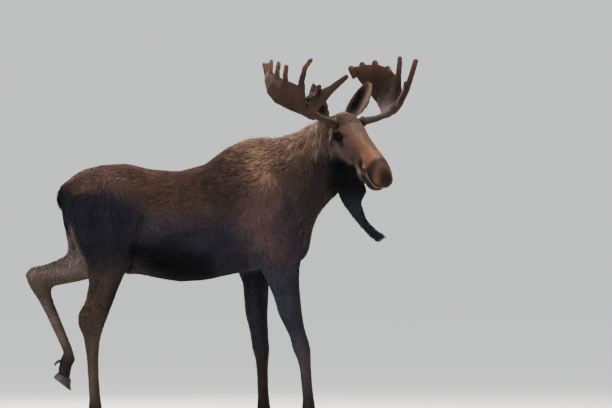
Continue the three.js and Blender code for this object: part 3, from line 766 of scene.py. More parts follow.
# The neck's upper and lower outlines, heights against x, and where the neck's colours begin
napeLine = ([0.27, 0.46, 0.53, 0.60, 0.655, 0.705], [1.77, 1.82, 1.86, 1.90, 1.918, 1.888])
throatLine = (
    [0.39, 0.52, 0.556, 0.583, 0.64, 0.712, 0.768],
    [1.11, 1.13, 1.215, 1.30, 1.38, 1.452, 1.54],
)
neckStart = {"x": 0.43, "z": 1.44, "lean": 0.27, "fade": 0.12}
ruffLine = [(0.568, 1.880), (0.582, 1.840), (0.578, 1.780), (0.568, 1.690)]


# 1 inside an ellipse, fading to 0 outside it
def ellipse(x, z, middle, half, fade):
    far = np.hypot((x - middle[0]) / half[0], (z - middle[1]) / half[1])
    return 1 - ramp(far, 1 - fade, 1 + fade)


# Lays a named colour over the colours so far, as strongly as the amount says
def blender(colour):
    def blend(name, amount):
        colour[:] += np.clip(amount, 0, 1)[:, None] * (coatColours[name] - colour)

    return blend


# Barrel: brown above and blue-grey below, the blue-grey being dark hair with a painted bluish sheen, the
# haunch blue-black close under the rump. Neck: a grizzled crest, greyer below it and dark behind the jaw
def colourBody(blend, points, normals, node, drift):
    x, _, z = points.T
    share = (x - trunkLow.x) / trunkLength
    below = np.interp(share, *topLine) - z + drift
    reach, fade = np.interp(share, *brownReach), np.interp(share, *brownFade)
    # Low on the barrel: dark hair with a painted bluish sheen
    blend("blue", ramp(below, 0.32, 0.50))
    blend("haunch", 1 - ramp(share + drift, 0.25, 0.36))
    brown = 1 - ramp(below, reach - fade, reach + fade)
    blend("back", brown)
    blend("rump", brown * (1 - ramp(share, 0.20, 0.36)) * (1 - ramp(below, 0.05, 0.14)) * 0.8)
    for name, middle, half, soft, strength in bodyMarks:
        blend(name, ellipse(x + drift, z + drift, middle, half, soft) * strength)
    rear = (node == "trunk") * ramp(-normals[:, 0], 0.35, 0.8)
    blend("haunch", rear * (1 - ramp(z, 1.44, 1.54)))
    past = x - neckStart["x"] + (z - neckStart["z"]) * neckStart["lean"]
    isNeck = ramp(past + drift, -neckStart["fade"], neckStart["fade"]) * (z > 1.0)
    nape, low = np.interp(x, *napeLine), np.interp(x, *throatLine)
    up = (z - low) / np.maximum(nape - low, 0.1) + drift
    blend("neck", isNeck * ramp(up, 0.25, 0.55))
    blend("neckLow", isNeck * (1 - ramp(up, 0.25, 0.60)) * 0.8)
    blend("crest", isNeck * ramp(up, 0.55, 0.95) * 0.9)
    blend("throat", isNeck * ramp(x + drift, 0.61, 0.68) * (1 - ramp(up, 0.60, 0.80)) * 0.9)
    # The pale edge of the ruff behind the jaw, and a painted highlight on the front of the chest
    ruff = nearLine(x, z, ruffLine, 0.011) * (normals[:, 1] < 0)
    blend("ruff", isNeck * ruff * (node == "neck") * 0.65)
    blend("throat", ellipse(x, z, (0.60, 1.60), (0.075, 0.14), 0.7) * isNeck * 0.3)
    # A painted highlight where the chest faces forward
    front = ramp(normals[:, 0], 0.45, 0.8) * ramp(z, 1.10, 1.18) * (1 - ramp(z, 1.38, 1.50))
    blend("pale", isNeck * front * 0.25)
    groin = ellipse(x, z, (-0.54, 0.968), (0.10, 0.045), 0.5) * (node == "trunk")
    blend("tan", groin * ramp(-normals[:, 2], -0.4, 0.4) * 0.4)
    isBell = (node == "bell").astype(float)
    blend("throat", isBell)
    blend("bell", isBell * ramp(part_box("bell")[1].z - z, 0.10, 0.26))
    blend("black", (node == "tail") * 0.75)


# Legs: darker in front, paler behind the thighs, inside them and down the shanks, with painted shade on
# the forelegs' inner sides
def colourLegs(blend, points, normals, node, drift):
    x, _, z = points.T
    for leg in legNames:
        isLeg = np.char.startswith(node, f"leg_{leg}").astype(float)
        way = np.sign(middleOf(f"leg_{leg}_upper").y - midline)
        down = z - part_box(f"leg_{leg}_lower")[0].z
        inner = ramp(-way * normals[:, 1], 0.3, 0.8)
        if leg.startswith("hind"):
            isShank = isLeg * (1 - ramp(z + drift, 0.92, 1.08))
            blend("shank", isShank)
            ahead = ramp(normals[:, 0], 0.0, 0.6) * ramp(z, 0.62, 0.80)
            blend("shankFront", isShank * ahead)
            behind = ramp(0.3 - normals[:, 0], -0.3, 0.6)
            blend("cannon", isLeg * (1 - ramp(down, 0.40, 0.58)) * behind)
            hamstring = ramp(-normals[:, 0], 0.55, 0.9) * ramp(z, 0.98, 1.06) * (1 - ramp(z, 1.36, 1.46))
            blend("pale", isLeg * hamstring * 0.7)
            thigh = ramp(z, 0.92, 0.97) * (1 - ramp(z, 1.04, 1.16))
            blend("pale", isLeg * inner * np.maximum(thigh, 0.3 * (z < 1.0)))
        else:
            blend("foreLeg", isLeg * (1 - ramp(z + drift, 0.94, 1.10)))
            blend("foreCannon", isLeg * (1 - ramp(down + drift, 0.34, 0.62)))
            # Painted shade on each foreleg's inner side, facing the other leg
            blend("throat", isLeg * inner * 0.6)
            blend("pale", isLeg * inner * ellipse(x, z, (0.325, 0.86), (0.05, 0.10), 0.6) * 0.35)
        blend("mud", isLeg * (1 - ramp(down + drift * 0.5, 0.10, 0.20)) * 0.75)


# Face markings in the head's axes, seen from the side: as the body's, and how far out they begin
faceMarks = [
    ("temple", (-0.045, -0.090), (0.040, 0.045), 0.6, 0.8, 0.04),
    ("temple", (0.035, -0.112), (0.030, 0.026), 0.7, 0.7, 0.05),
    ("bridge", (0.250, 0.020), (0.110, 0.075), 0.6, 1.0, 0.0),
    ("muzzle", (0.380, -0.030), (0.075, 0.045), 0.5, 1.0, 0.0),
    ("forehead", (0.290, -0.085), (0.050, 0.025), 0.8, 0.5, 0.03),
    ("black", (0.100, -0.110), (0.030, 0.030), 0.6, 0.75, 0.05),
    ("black", (0.128, -0.130), (0.022, 0.014), 0.8, 0.4, 0.05),
    ("temple", (0.130, -0.048), (0.022, 0.009), 0.7, 0.8, 0.04),
    ("temple", (0.250, -0.140), (0.022, 0.020), 0.8, 0.7, 0.03),
    # Painted shade round each nostril's hollow
    ("band", (0.345, -0.118), (0.026, 0.040), 0.5, 0.6, 0.03),
    ("folds", (0.312, -0.178), (0.024, 0.024), 0.7, 0.7, 0.02),
    ("band", (0.402, -0.118), (0.022, 0.022), 0.7, 0.6, 0.03),
]


# Face: greyish above, the cheeks darker, reddish down the bridge, tan before the nostrils, a band of
# painted shade and a brown pad at the end of the muzzle, dark round the eye, painted shade in the
# nostrils and darker in the other slits
def colourFace(blend, head, node, drift):
    x, y, z = head.T
    behindJaw = (node == "neck") * ramp(x, -0.035, -0.005) * ramp(z, -0.225, -0.195)
    inHead = np.maximum(isHeadNode(node), behindJaw)
    out = np.abs(y)
    side, shift = ramp(out, 0.03, 0.05), drift * 0.25

    def mark(name, amount):
        blend(name, inHead * amount)

    blend("jaw", inHead)
    mark("cheek", ramp(z + shift, -0.190, -0.120))
    mark("forehead", ramp(z + shift, -0.085, -0.040))
    for name, middle, half, soft, strength, start in faceMarks:
        outside = ramp(out, start, start + 0.02) if start else 1
        mark(name, ellipse(x + shift, z + shift, middle, half, soft) * strength * outside)
    mark("throat", ramp(-z, 0.190, 0.240) * (1 - ramp(x, 0.20, 0.30)))
    # The band of painted shade where the muzzle's top turns down, and the pad with its darker sides and
    # front
    slant = x + 0.55 * z
    mark("band", ramp(x + 0.25 * z, 0.380, 0.412) * 0.92)
    mark("pad", ramp(slant, 0.418, 0.458))
    mark("padSide", ramp(slant, 0.440, 0.480) * (1 - ramp(out, 0.025, 0.055)) * 0.9)
    mark("padSide", ramp(-z, 0.100, 0.135) * ramp(x, 0.44, 0.48) * 0.7)
    # Pale rim of the upper lip, the nostril's knob, the dark lower lip and its pale front
    mark("folds", nearLine(x, z, lipMake["rim"], lipMake["rimWidth"]) * side * 0.8)
    knob = np.hypot(x - nostrilMake["knob"][0], z - nostrilMake["knob"][1])
    mark("knob", side * (1 - ramp(knob, 0.005, 0.015)))
    mark("band", ramp(-(z + 0.172), 0.0, 0.014) * ramp(x, 0.33, 0.37) * 0.8)
    mark("folds", ramp(-z, 0.178, 0.190) * ramp(x, 0.47, 0.50) * 0.5)
    # A pale streak behind the eye, the dark skin round the eye, painted shade in the nostrils' slits,
    # and darker lines along the lip's groove and the mouth
    streak = nearLine(x, z, [(-0.006, -0.086), (0.008, -0.110), (0.022, -0.136)], 0.009)
    mark("ruff", streak * ramp(out, 0.05, 0.07) * 0.6)
    for way in (-1, 1):
        centre, along, up, _ = eyeAxes(way)
        off = head - centre
        ring = np.hypot(off @ along / 0.032, off @ up / 0.023)
        mark("black", (1 - ramp(ring, 0.75, 1.30)) * 0.85)
    # Painted shade in each nostril's slit
    mark("black", side * ramp(-z, 0.060, 0.100) * nearLine(x, z, nostrilMake["line"], 0.013) * 0.9)
    mark("black", side * nearLine(x, z, lipMake["groove"], 0.0055) * 0.8)
    mark("black", ramp(x, 0.325, 0.35) * nearLine(x, z, mouthMake["line"], 0.006) * 0.9)


# Which way each ear's hollow faces
earFacing = {"ear_right": (-0.4, -1, 0.1), "ear_left": (0.35, -1, -0.2)}


# Ears: brown behind and along their edges, pale hair inside the edges and painted shade deep in the
# hollow between
def colourEars(blend, points, normals, node):
    for ear, facing in earFacing.items():
        rows = node == ear
        up = -axisOf(ear)
        look = np.array(facing) - up * np.dot(facing, up)
        look = look / np.linalg.norm(look)
        off = points - np.array(middleOf(ear))
        rise, across = off @ up, np.abs(off @ np.cross(up, look))
        levels = np.linspace(rise[rows].min(), rise[rows].max(), 9)
        reach = levels[1] - levels[0]
        halves = [across[rows & (np.abs(rise - level) < reach)].max() for level in levels]
        share = across / np.interp(rise, levels, halves)
        height = (rise - levels[0]) / (levels[-1] - levels[0])
        inner = rows * ramp(normals @ look, -0.1, 0.35)
        blend("earBack", rows * 1.0)
        blend("earInside", inner * (1 - ramp(share, 0.75, 0.95)))
        blend("earRim", inner * np.exp(-(((share - 0.62) / 0.14) ** 2)) * 0.9)
        # Painted shade deep in the hollow
        deep = ramp(height, 0.10, 0.25) * (1 - ramp(height, 0.62, 0.85))
        blend("earHollowShade", inner * (1 - ramp(share, 0.25, 0.55)) * deep * 0.9)


def coatColour(points, normals, nodes, found):
    node = np.array(nodes)[found]
    drift = waves(points, 0.40, 3) * 0.035 + waves(points, 0.11, 4) * 0.018
    colour = np.tile(coatColours["flank"], (len(points), 1))
    blend = blender(colour)
    colourBody(blend, points, normals, node, drift)
    colourLegs(blend, points, normals, node, drift)
    colourFace(blend, toHead(points), node, drift)
    colourEars(blend, points, normals, node)
    # Dark and light patches, taller than wide, weaker on the face
    patchy = np.where(isHeadNode(node), 0.5, np.where(node == "neck", 0.6, 1.0))
    tall = points * (1, 1, 0.6)
    mottle = 1 + patchy * (0.20 * waves(tall, 0.20, 5) + 0.13 * waves(tall, 0.07, 6))
    return np.maximum(colour * (mottle * coatMake["gain"])[:, None], 0.001)


# Everything that the coat needs to know at each point of the skin
def skinFields(skin, tree, labels, nodes):
    mesh = skin.data
    edges = edgesOf(mesh)
    points, normals = pointsOf(mesh), normalsOf(mesh)
    found = labelRows(points, tree, labels, nodes)
    isHorn = np.isin(np.array(nodes)[found], list(hornLegs))
    isEar = np.char.startswith(np.array(nodes)[found], "ear")
    nodes = [hornLegs.get(n, n) for n in nodes]
    fade = coatMake["fadeRounds"]
    broad = unitRows(spread(normals, edges, 6))
    zone = zoneOf(points, broad, found, nodes)
    table = np.array([coatZones[name] for name in zoneNames])
    fields = dict(zip(coatKeys, spread(table[zone], edges, fade, 0.8).T))
    fields["depth"] = np.where(isEar, coatZones["ear"][0], fields["depth"])
    # How far the skin goes in: less than the coat's depth on slim parts, least inside the hooves
    isThin = np.isin(zone, [zoneNames.index(name) for name in coatMake["thinZones"]])
    share = spreadOne(isThin, edges, fade, 0.8)
    sink = fields["depth"] * (1 - share * (1 - coatMake["thinSink"]))
    fields["sink"] = spreadOne(np.where(isHorn, skinMake["hornSink"], sink), edges, 2)
    # The bell's last tufts are shorter, so that they end where it does
    atEnd = 1 - ramp(points[:, 2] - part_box("bell")[0].z, 0.01, 0.10)
    bellEnd = (zone == zoneNames.index("bell")) * atEnd
    fields["long"] = fields["long"] * (1 - coatMake["bellEnd"] * bellEnd)
    flow = unitRows(flowOf(points, broad, found, nodes))
    fields["flow"] = spread(flow, edges, fade, 0.8)
    colour = coatColour(points, broad, nodes, found)
    fields["colour"] = spread(colour, edges, 3, 0.7)
    fields["found"] = found
    return fields


# The coat: closed tapering tufts, each a bent three-sided spindle of two rings (three where the hair
# is long) and a tip. Their roots stand a little under the skin.
tuftMake = {"short": 2, "long": 3, "rootDeep": 0.0015, "sway": 0.10, "tips": (0.75, 1.1), "flat": 0.62}


def tuftShapes(root, normal, flow, long, wide, height, rings):
    count = len(root)
    side = unitRows(np.cross(normal, flow))
    rows = []
    sway = rng.normal(size=count) * tuftMake["sway"]
    tips = rng.uniform(*tuftMake["tips"], count)

    # A tuft's middle at a share of its length: it rises fast, then lies over
    def centreAt(share):
        rise = height * np.sin(min(share * 1.5, 1.0) * math.pi / 2) * (1 - 0.10 * max(0, share - 0.6))
        lean = (share * (0.82 + 0.18 * share)) * long * tips
        centre = root + flow * lean[:, None] + normal * (rise - tuftMake["rootDeep"])[:, None]
        return centre + side * (sway * long * share * share)[:, None]

    for share in np.arange(rings) / rings:
        centre = centreAt(share)
        half = wide * (0.36 + 0.64 * math.sin(math.pi * min(1, 0.25 + share * 0.9))) / 2
        ring = []
        for k in range(3):
            angle = 2 * math.pi * k / 3 + math.pi / 2
            c, t = math.cos(angle), math.sin(angle) * tuftMake["flat"]
            ring.append(centre + side * (half * c)[:, None] + normal * (half * t)[:, None])
        rows.append(np.stack(ring, 1))
    rows.append(centreAt(1.0)[:, None])
    points = np.concatenate(rows, 1)
    faces = [(0, 2, 1)]
    for r in range(rings - 1):
        for k in range(3):
            p, q = r * 3 + k, r * 3 + (k + 1) % 3
            faces += [(p, q, q + 3), (p, q + 3, p + 3)]
    last, tip = (rings - 1) * 3, rings * 3
    faces += [(last + k, last + (k + 1) % 3, tip) for k in range(3)]
    faces = np.array(faces)
    each = rings * 3 + 1
    faces = (np.arange(count)[:, None, None] * each + faces[None]).reshape(-1, 3)
    return points.reshape(-1, 3), faces, each


# Roots spread evenly by area and density over the faces, in the mesh's own order: the face and the
# corners' weights for each
def sowRoots(points, triangles, dense, rows):
    a, b, c = points[triangles[rows]].transpose(1, 0, 2)
    area = np.linalg.norm(np.cross(b - a, c - a), axis=1) / 2
    share = np.cumsum(area * dense[triangles[rows]].mean(1) * 1000)
    total = int(share[-1])
    picks = np.arange(total) + rng.uniform(0, 1, total)
    face = rows[np.searchsorted(share, np.minimum(picks, share[-1] - 1e-6))]
    u, v = rng.uniform(0, 1, (2, total))
    flip = u + v > 1
    u, v = np.where(flip, 1 - u, u), np.where(flip, 1 - v, v)
    return face, np.stack([1 - u - v, u, v], 1)


# The part of each row that lies along the surface
def laidOn(rows, normal):
    return unitRows(rows - normal * (rows * normal).sum(1)[:, None])


# Neighbouring tufts lean together into locks: the new flow, and a tone that each lock shares
def clumped(root, normal, flow, long):
    chosen = rng.choice(len(root), max(1, len(root) // coatMake["clumpEvery"]), replace=False)
    tree = KDTree(len(chosen))
    tipPlace = root + flow * long[:, None] * 0.9
    for i, row in enumerate(chosen):
        tree.insert(tipPlace[row], i)
    tree.balance()
    nearest = np.array([tree.find(p)[1] for p in tipPlace])
    pull = laidOn(tipPlace[chosen[nearest]] - root, normal)
    return unitRows(flow + coatMake["clumpPull"] * pull), rng.uniform(-1, 1, len(chosen))[nearest]


# The bake's map: a small patch for each tuft at its root's place on the unwrapped skin
def addBakeMap(mesh, u, v, share):
    rings, edge = len(share) // 3, coatMake["patch"]
    across = np.r_[np.tile((-0.5, 0.0, 0.5), rings), 0.0]
    along = share + np.r_[np.tile((0.0, 0.12, 0.0), rings), 0.0]
    spanU, spanV = u * (1 - 2 * edge) + edge, v * (1 - 2.2 * edge) + edge * 0.5
    uv = np.stack([spanU[:, None] + across * edge, spanV[:, None] + along * edge], -1).reshape(-1, 2)
    corners = np.empty(len(mesh.loops), np.int32)
    mesh.loops.foreach_get("vertex_index", corners)
    layer = mesh.uv_layers.new(name="OFBake")
    layer.uv.foreach_set("vector", uv[corners].astype(np.float32).ravel())


# One piece of coat, grown over the given rows of the skin's triangles
def growCoat(name, rows, mesh, fields, normals, unwrap, rings):
    points, triangles = pointsOf(mesh), trianglesOf(mesh)
    face, weights = sowRoots(points, triangles, fields["dense"], rows)

    def at(values):
        corners = values[triangles[face]]
        return (corners * (weights if corners.ndim == 2 else weights[:, :, None])).sum(1)

    root, normal, flow = at(points), unitRows(at(normals)), at(fields["flow"])
    flow = laidOn(flow + rng.normal(size=flow.shape) * coatMake["jitter"], normal)
    long = at(fields["long"]) * rng.uniform(0.7, 1.15, len(root))
    wide = at(fields["wide"]) * rng.uniform(0.7, 1.25, len(root))
    height = at(fields["depth"]) * rng.uniform(0.5, 1.05, len(root))
    flow, clump = clumped(root, normal, flow, long)
    shape, faces, each = tuftShapes(root, normal, flow, long, wide, height, rings)
    piece = makePiece(name, shape, faces)
    mottle = at(fields["mottle"])
    tone = np.clip(0.6 * rng.normal(size=len(root)) + 0.55 * clump, -2, 2) * mottle
    addColour(piece.data, "coat", np.repeat(at(fields["colour"]), each, 0))
    addNumber(piece.data, "tone", np.repeat(tone, each))
    share = np.r_[np.repeat(np.arange(rings) / rings, 3), 1.0]
    addNumber(piece.data, "tip", ((share - 0.45)[None] * mottle[:, None]).ravel())
    addBakeMap(piece.data, *unwrap(root), share)
    print(f"coat {name}: {len(root)} tufts, {len(faces)} triangles")
    return piece


# An unwrap round an axis from start to end: angle from the zero direction against length, both
# filling the square
def roundAxis(start, end, zero=(0, 0, 1), lowAngle=-math.pi, highAngle=math.pi):
    start, end = np.array(start), np.array(end)
    along = (end - start) / np.linalg.norm(end - start)
    first = np.array(zero) - along * np.dot(zero, along)
    first = first / np.linalg.norm(first)
    second = np.cross(along, first)

    def place(points):
        off = points - start
        angle = np.arctan2(off @ second, off @ first)
        length = off @ along
        u = (angle - lowAngle) / (highAngle - lowAngle)
        v = (length - length.min()) / max(np.ptp(length), 1e-6)
        return np.clip(u, 0, 1), v

    return place


# Materials
def newMaterial(name):
    material = bpy.data.materials.new(name)
    material.use_nodes = True
    nodes = material.node_tree.nodes
    return material, nodes, material.node_tree.links, nodes["Principled BSDF"]


def addNode(nodes, kind, **values):
    node = nodes.new(kind)
    for key, value in values.items():
        if key.startswith("in_"):
            key = key[3:]
            node.inputs[int(key) if key.isdigit() else key].default_value = value
        else:
            setattr(node, key, value)
    return node


def mathNode(nodes, links, operation, first, second=None, third=None):
    node = addNode(nodes, "ShaderNodeMath", operation=operation)
    for i, value in enumerate((first, second, third)):
        if value is None:
            continue
        if isinstance(value, (int, float)):
            node.inputs[i].default_value = value
        else:
            links.new(value, node.inputs[i])
    return node.outputs[0]


# Noise on the object's own coordinates
def noiseNode(nodes, links, **values):
    noise = addNode(nodes, "ShaderNodeTexNoise", **values)
    links.new(addNode(nodes, "ShaderNodeTexCoord").outputs["Object"], noise.inputs["Vector"])
    return noise


# Two tones that a mask runs between, from one place on it to another
def twoTones(nodes, links, mask, low, dark, high, pale):
    colours = addNode(nodes, "ShaderNodeValToRGB")
    ramps = colours.color_ramp.elements
    ramps[0].position, ramps[0].color = low, (*dark, 1)
    ramps[1].position, ramps[1].color = high, (*pale, 1)
    links.new(mask, colours.inputs["Fac"])
    return colours.outputs["Color"]


def addRelief(nodes, links, shader, height, strength, distance):
    relief = addNode(nodes, "ShaderNodeBump", in_Strength=strength, in_Distance=distance)
    links.new(height, relief.inputs["Height"])
    links.new(relief.outputs["Normal"], shader.inputs["Normal"])


# Hair colour: the marking made lighter or darker by each tuft's tone, its tip and fine streaks
def makeHairGroup():
    group = bpy.data.node_groups.new("hairTone", "ShaderNodeTree")
    face = group.interface
    face.new_socket("Marking", in_out="INPUT", socket_type="NodeSocketColor")
    for name in ("Tone", "Tip", "Tone strength", "Tip strength", "Streak scale"):
        face.new_socket(name, in_out="INPUT", socket_type="NodeSocketFloat")
    face.new_socket("Color", in_out="OUTPUT", socket_type="NodeSocketColor")
    for name in ("Roughness", "Height"):
        face.new_socket(name, in_out="OUTPUT", socket_type="NodeSocketFloat")
    nodes, links = group.nodes, group.links
    inputs = addNode(nodes, "NodeGroupInput").outputs
    outputs = addNode(nodes, "NodeGroupOutput").inputs
    streak = noiseNode(nodes, links, in_Detail=3.0, in_Roughness=0.6)
    links.new(inputs["Streak scale"], streak.inputs["Scale"])
    broad = noiseNode(nodes, links, in_Scale=7.0, in_Detail=4.0, in_Roughness=0.55)
    centred = mathNode(nodes, links, "SUBTRACT", streak.outputs["Fac"], 0.5)
    drift = mathNode(nodes, links, "SUBTRACT", broad.outputs["Fac"], 0.5)
    tone = mathNode(nodes, links, "MULTIPLY", inputs["Tone"], inputs["Tone strength"])
    tip = mathNode(nodes, links, "MULTIPLY", inputs["Tip"], inputs["Tip strength"])
    total = mathNode(nodes, links, "ADD", tone, tip)
    total = mathNode(nodes, links, "MULTIPLY_ADD", centred, 0.7, total)
    total = mathNode(nodes, links, "MULTIPLY_ADD", drift, 0.55, total)
    total = mathNode(nodes, links, "ADD", total, 1.0)
    total = mathNode(nodes, links, "MAXIMUM", total, 0.15)
    colour = addNode(nodes, "ShaderNodeVectorMath", operation="SCALE")
    links.new(inputs["Marking"], colour.inputs[0])
    links.new(total, colour.inputs["Scale"])
    links.new(colour.outputs[0], outputs["Color"])
    rough = mathNode(nodes, links, "MULTIPLY_ADD", centred, 0.3, 0.58)
    links.new(rough, outputs["Roughness"])
    links.new(streak.outputs["Fac"], outputs["Height"])
    return group


hairGroup = makeHairGroup()


# On the skin the marking and a bump of short hair; on the coat each tuft has its own tone too
def hairMaterial(name, toneStrength, tipStrength, streakScale, bump):
    material, nodes, links, shader = newMaterial(name)
    hair = addNode(nodes, "ShaderNodeGroup", node_tree=hairGroup)
    hair.inputs["Tone strength"].default_value = toneStrength
    hair.inputs["Tip strength"].default_value = tipStrength
    hair.inputs["Streak scale"].default_value = streakScale
    marking = addNode(nodes, "ShaderNodeAttribute", attribute_name="coat")
    links.new(marking.outputs["Color"], hair.inputs["Marking"])
    if toneStrength:
        tone = addNode(nodes, "ShaderNodeAttribute", attribute_name="tone")
        tip = addNode(nodes, "ShaderNodeAttribute", attribute_name="tip")
        links.new(tone.outputs["Fac"], hair.inputs["Tone"])
        links.new(tip.outputs["Fac"], hair.inputs["Tip"])
    links.new(hair.outputs["Color"], shader.inputs["Base Color"])
    links.new(hair.outputs["Roughness"], shader.inputs["Roughness"])
    if bump:
        addRelief(nodes, links, shader, hair.outputs["Height"], 0.6, bump)
    shader.inputs["Specular IOR Level"].default_value = 0.12
    shader.inputs["Sheen Weight"].default_value = 0.02
    shader.inputs["Sheen Roughness"].default_value = 0.4
    return material


skinMaterial = hairMaterial("shortHair", 0.0, 0.0, 420.0, 0.0015)
coatMaterial = hairMaterial("longHair", 0.26, 0.45, 160.0, 0)


# The skin goes in by the coat's depth, then its folds and the face are shaped on it
def shapeSkin(skin, node, fields):
    mesh = skin.data
    isHead = isHeadNode(node)
    setPoints(mesh, pointsOf(mesh) - normalsOf(mesh) * fields["sink"][:, None])
    smoothPoints(mesh, 2, 0.5)
    onBody = spreadOne(~isHead & ~np.char.startswith(node, "ear"), edgesOf(mesh), 4)
    setPoints(mesh, foldBody(pointsOf(mesh), normalsOf(mesh), onBody))
    places = toHead(pointsOf(mesh))
    shaped = shapeFace(places, normalsOf(mesh) @ np.array(headAxes))
    places = np.where(isHead[:, None], shaped, places)
    places = np.where(isHead[:, None], shapeLids(places), places)
    setPoints(mesh, fromHead(places))
    print("skin shaped:", len(trianglesOf(mesh)), "triangles")


skin, fleshTree, fleshLabels, fleshSources = makeSkin()
fields = skinFields(skin, fleshTree, fleshLabels, fleshSources)
fleshNode = np.array(fleshSources)[fields["found"]]
shapeSkin(skin, fleshNode, fields)
# Its colour is the coat's, a little darker as painted shade under the hair, and the lie of its short
# hair shows as bump
addColour(skin.data, "coat", fields["colour"] * coatMake["skinShade"])
dress(skin, skinMaterial)
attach(skin, "root")
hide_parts(*fleshNodes)


# The coat's pieces: which faces each grows on, and the axis that its roots are unwrapped round
def coatPieces():
    mesh = skin.data
    triangles, points = trianglesOf(mesh), pointsOf(mesh)
    normals = unitRows(spread(normalsOf(mesh), edgesOf(mesh), 2))
    node = fleshNode[triangles[:, 0]]
    middle = points[triangles].mean(1)
    barrel = (node == "trunk") | (np.char.endswith(node, "upper") & (middle[:, 2] > zoneEdges["thigh"]))
    centre = (trunkLow + trunkHigh) / 2
    right = middle[:, 1] < midline
    front = middle[:, 0] > trunkLow.x + trunkLength * coatMake["parting"]
    headPart, ahead = isHeadNode(node), toHead(middle)[:, 0]
    poll, nose = fromHead(np.array([[-0.10, 0, -0.12], [0.54, 0, -0.12]]))
    short, long = tuftMake["short"], tuftMake["long"]
    plans = []
    for name, isSide, low in (("Right", right, 0), ("Left", ~right, -math.pi)):
        start, end = (trunkLow.x, midline, centre.z), (trunkHigh.x, midline, centre.z)
        unwrap = roundAxis(start, end, (0, 0, 1), low, low + math.pi)
        plans.append((f"coat{name}Fore", barrel & isSide & front, unwrap, short))
        plans.append((f"coat{name}Hind", barrel & isSide & ~front, unwrap, short))
    neckRoot = (trunkHigh.x - 0.15, midline, centre.z + 0.1)
    plans.append(("coatNeck", node == "neck", roundAxis(neckRoot, poll, (-1, 0, 0)), long))
    roundHead = roundAxis(poll, nose, tuple(headAxes @ Vector((0, 0, 1))))
    plans.append(("coatFace", headPart & (ahead < zoneEdges["pad"]), roundHead, short))
    plans.append(("coatMuzzle", headPart & (ahead >= zoneEdges["pad"]), roundHead, short))
    for leg in legNames:
        rows = np.char.startswith(node, f"leg_{leg}") & ~barrel
        top, foot = middleOf(f"leg_{leg}_upper"), middleOf(f"leg_{leg}_lower")
        plans.append((f"coatLeg_{leg}", rows, roundAxis(top, foot, (1, 0, 0)), short))
    low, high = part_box("bell")
    across = middleOf("bell")
    bellTop, bellEnd = (across.x - 0.05, across.y, high.z), (across.x + 0.05, across.y, low.z)
    plans.append(("coatBell", node == "bell", roundAxis(bellTop, bellEnd, (1, 0, 0)), long))
    for ear in ("ear_right", "ear_left"):
        low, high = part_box(ear)
        base, tip = middleOf(ear), middleOf(ear)
        base.z, tip.z = low.z, high.z
        plans.append((f"coat_{ear}", node == ear, roundAxis(base, tip, (1, 0, 0)), short))
    low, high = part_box("tail")
    unwrap = roundAxis((high.x, midline, high.z), (low.x, midline, low.z), (1, 0, 0))
    plans.append(("coatTail", node == "tail", unwrap, long))
    for name, rows, unwrap, rings in plans:
        piece = growCoat(name, np.flatnonzero(rows), mesh, fields, normals, unwrap, rings)
        piece.data.materials.append(coatMaterial)
        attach(piece, "root")


coatPieces()


# Antlers: beam, palm and brow tine run into one another, with shallow channels of blood vessels
antlerMake = {
    "voxel": 0.0040,
    "swell": 0.0006,
    "rounds": 8,
    "ridge": 0.0006,
    "ridges": (38, 17),
    "rough": 0.0008,
    "paleTips": 0.16,
    "beam": daylight(74, 61, 56),
    "palm": daylight(54, 38, 30),
    "tips": daylight(92, 65, 50),
}


def velvetMaterial():
    material, nodes, links, shader = newMaterial("velvet")
    broad = noiseNode(nodes, links, in_Scale=9.0, in_Detail=5.0, in_Roughness=0.6)
    fine = noiseNode(nodes, links, in_Scale=260.0, in_Detail=2.0)
    shade = twoTones(nodes, links, broad.outputs["Fac"], 0.30, [0.42] * 3, 0.72, [0.95] * 3)
    marking = addNode(nodes, "ShaderNodeAttribute", attribute_name="velvet")
    mixed = addNode(nodes, "ShaderNodeVectorMath", operation="MULTIPLY")
    links.new(marking.outputs["Color"], mixed.inputs[0])
    links.new(shade, mixed.inputs[1])
    links.new(mixed.outputs[0], shader.inputs["Base Color"])
    addRelief(nodes, links, shader, fine.outputs["Fac"], 0.5, 0.001)
    shader.inputs["Roughness"].default_value = 0.85
    shader.inputs["Specular IOR Level"].default_value = 0.25
    shader.inputs["Sheen Weight"].default_value = 0.08
    shader.inputs["Sheen Roughness"].default_value = 0.3
    shader.inputs["Sheen Tint"].default_value = (*daylight(200, 150, 120), 1)
    return material


velvet = velvetMaterial()


def makeAntler(side):
    nodes = [f"antler_{side}_{part}" for part in ("beam", "palm", "brow")]
    points, faces, _ = gather(nodes, {"all": antlerMake["swell"]})
    antler = remeshed(f"antler_{side}", points, faces, antlerMake["voxel"])
    roundOff(antler.data, antlerMake["rounds"], 0.6)
    places, normals = pointsOf(antler.data), normalsOf(antler.data)
    # Shallow channels that fan from the beam to the tines
    off = places - np.array(middleOf(f"antler_{side}_beam"))
    out = np.linalg.norm(off, axis=1)
    rise = np.arctan2(off[:, 2], np.hypot(off[:, 0], off[:, 1]) + 0.05)
    turn = np.arctan2(off[:, 1], off[:, 0])
    upRidges, roundRidges = antlerMake["ridges"]
    ridges = np.sin(rise * upRidges + turn * roundRidges + waves(places, 0.18, 11) * 1.2)
    ridges *= ramp(out, 0.08, 0.2)
    relief = antlerMake["ridge"] * ridges + antlerMake["rough"] * waves(places, 0.035, 12)
    setPoints(antler.data, places + normals * (relief - antlerMake["swell"])[:, None])
    # Smooth grey-brown beams, dark palms and paler tine ends
    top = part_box(f"antler_{side}_palm")[1].z
    far = ramp(out, 0.08, 0.16)[:, None]
    high = ramp(places[:, 2], top - antlerMake["paleTips"], top)[:, None]
    tone = antlerMake["beam"] * (1 - far) + antlerMake["palm"] * far
    addColour(antler.data, "velvet", tone * (1 - high) + antlerMake["tips"] * high)
    dress(antler, velvet)
    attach(antler, "root")
    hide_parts(*nodes)
    print("antler", side, len(trianglesOf(antler.data)), "triangles")


for side in ("right", "left"):
    makeAntler(side)


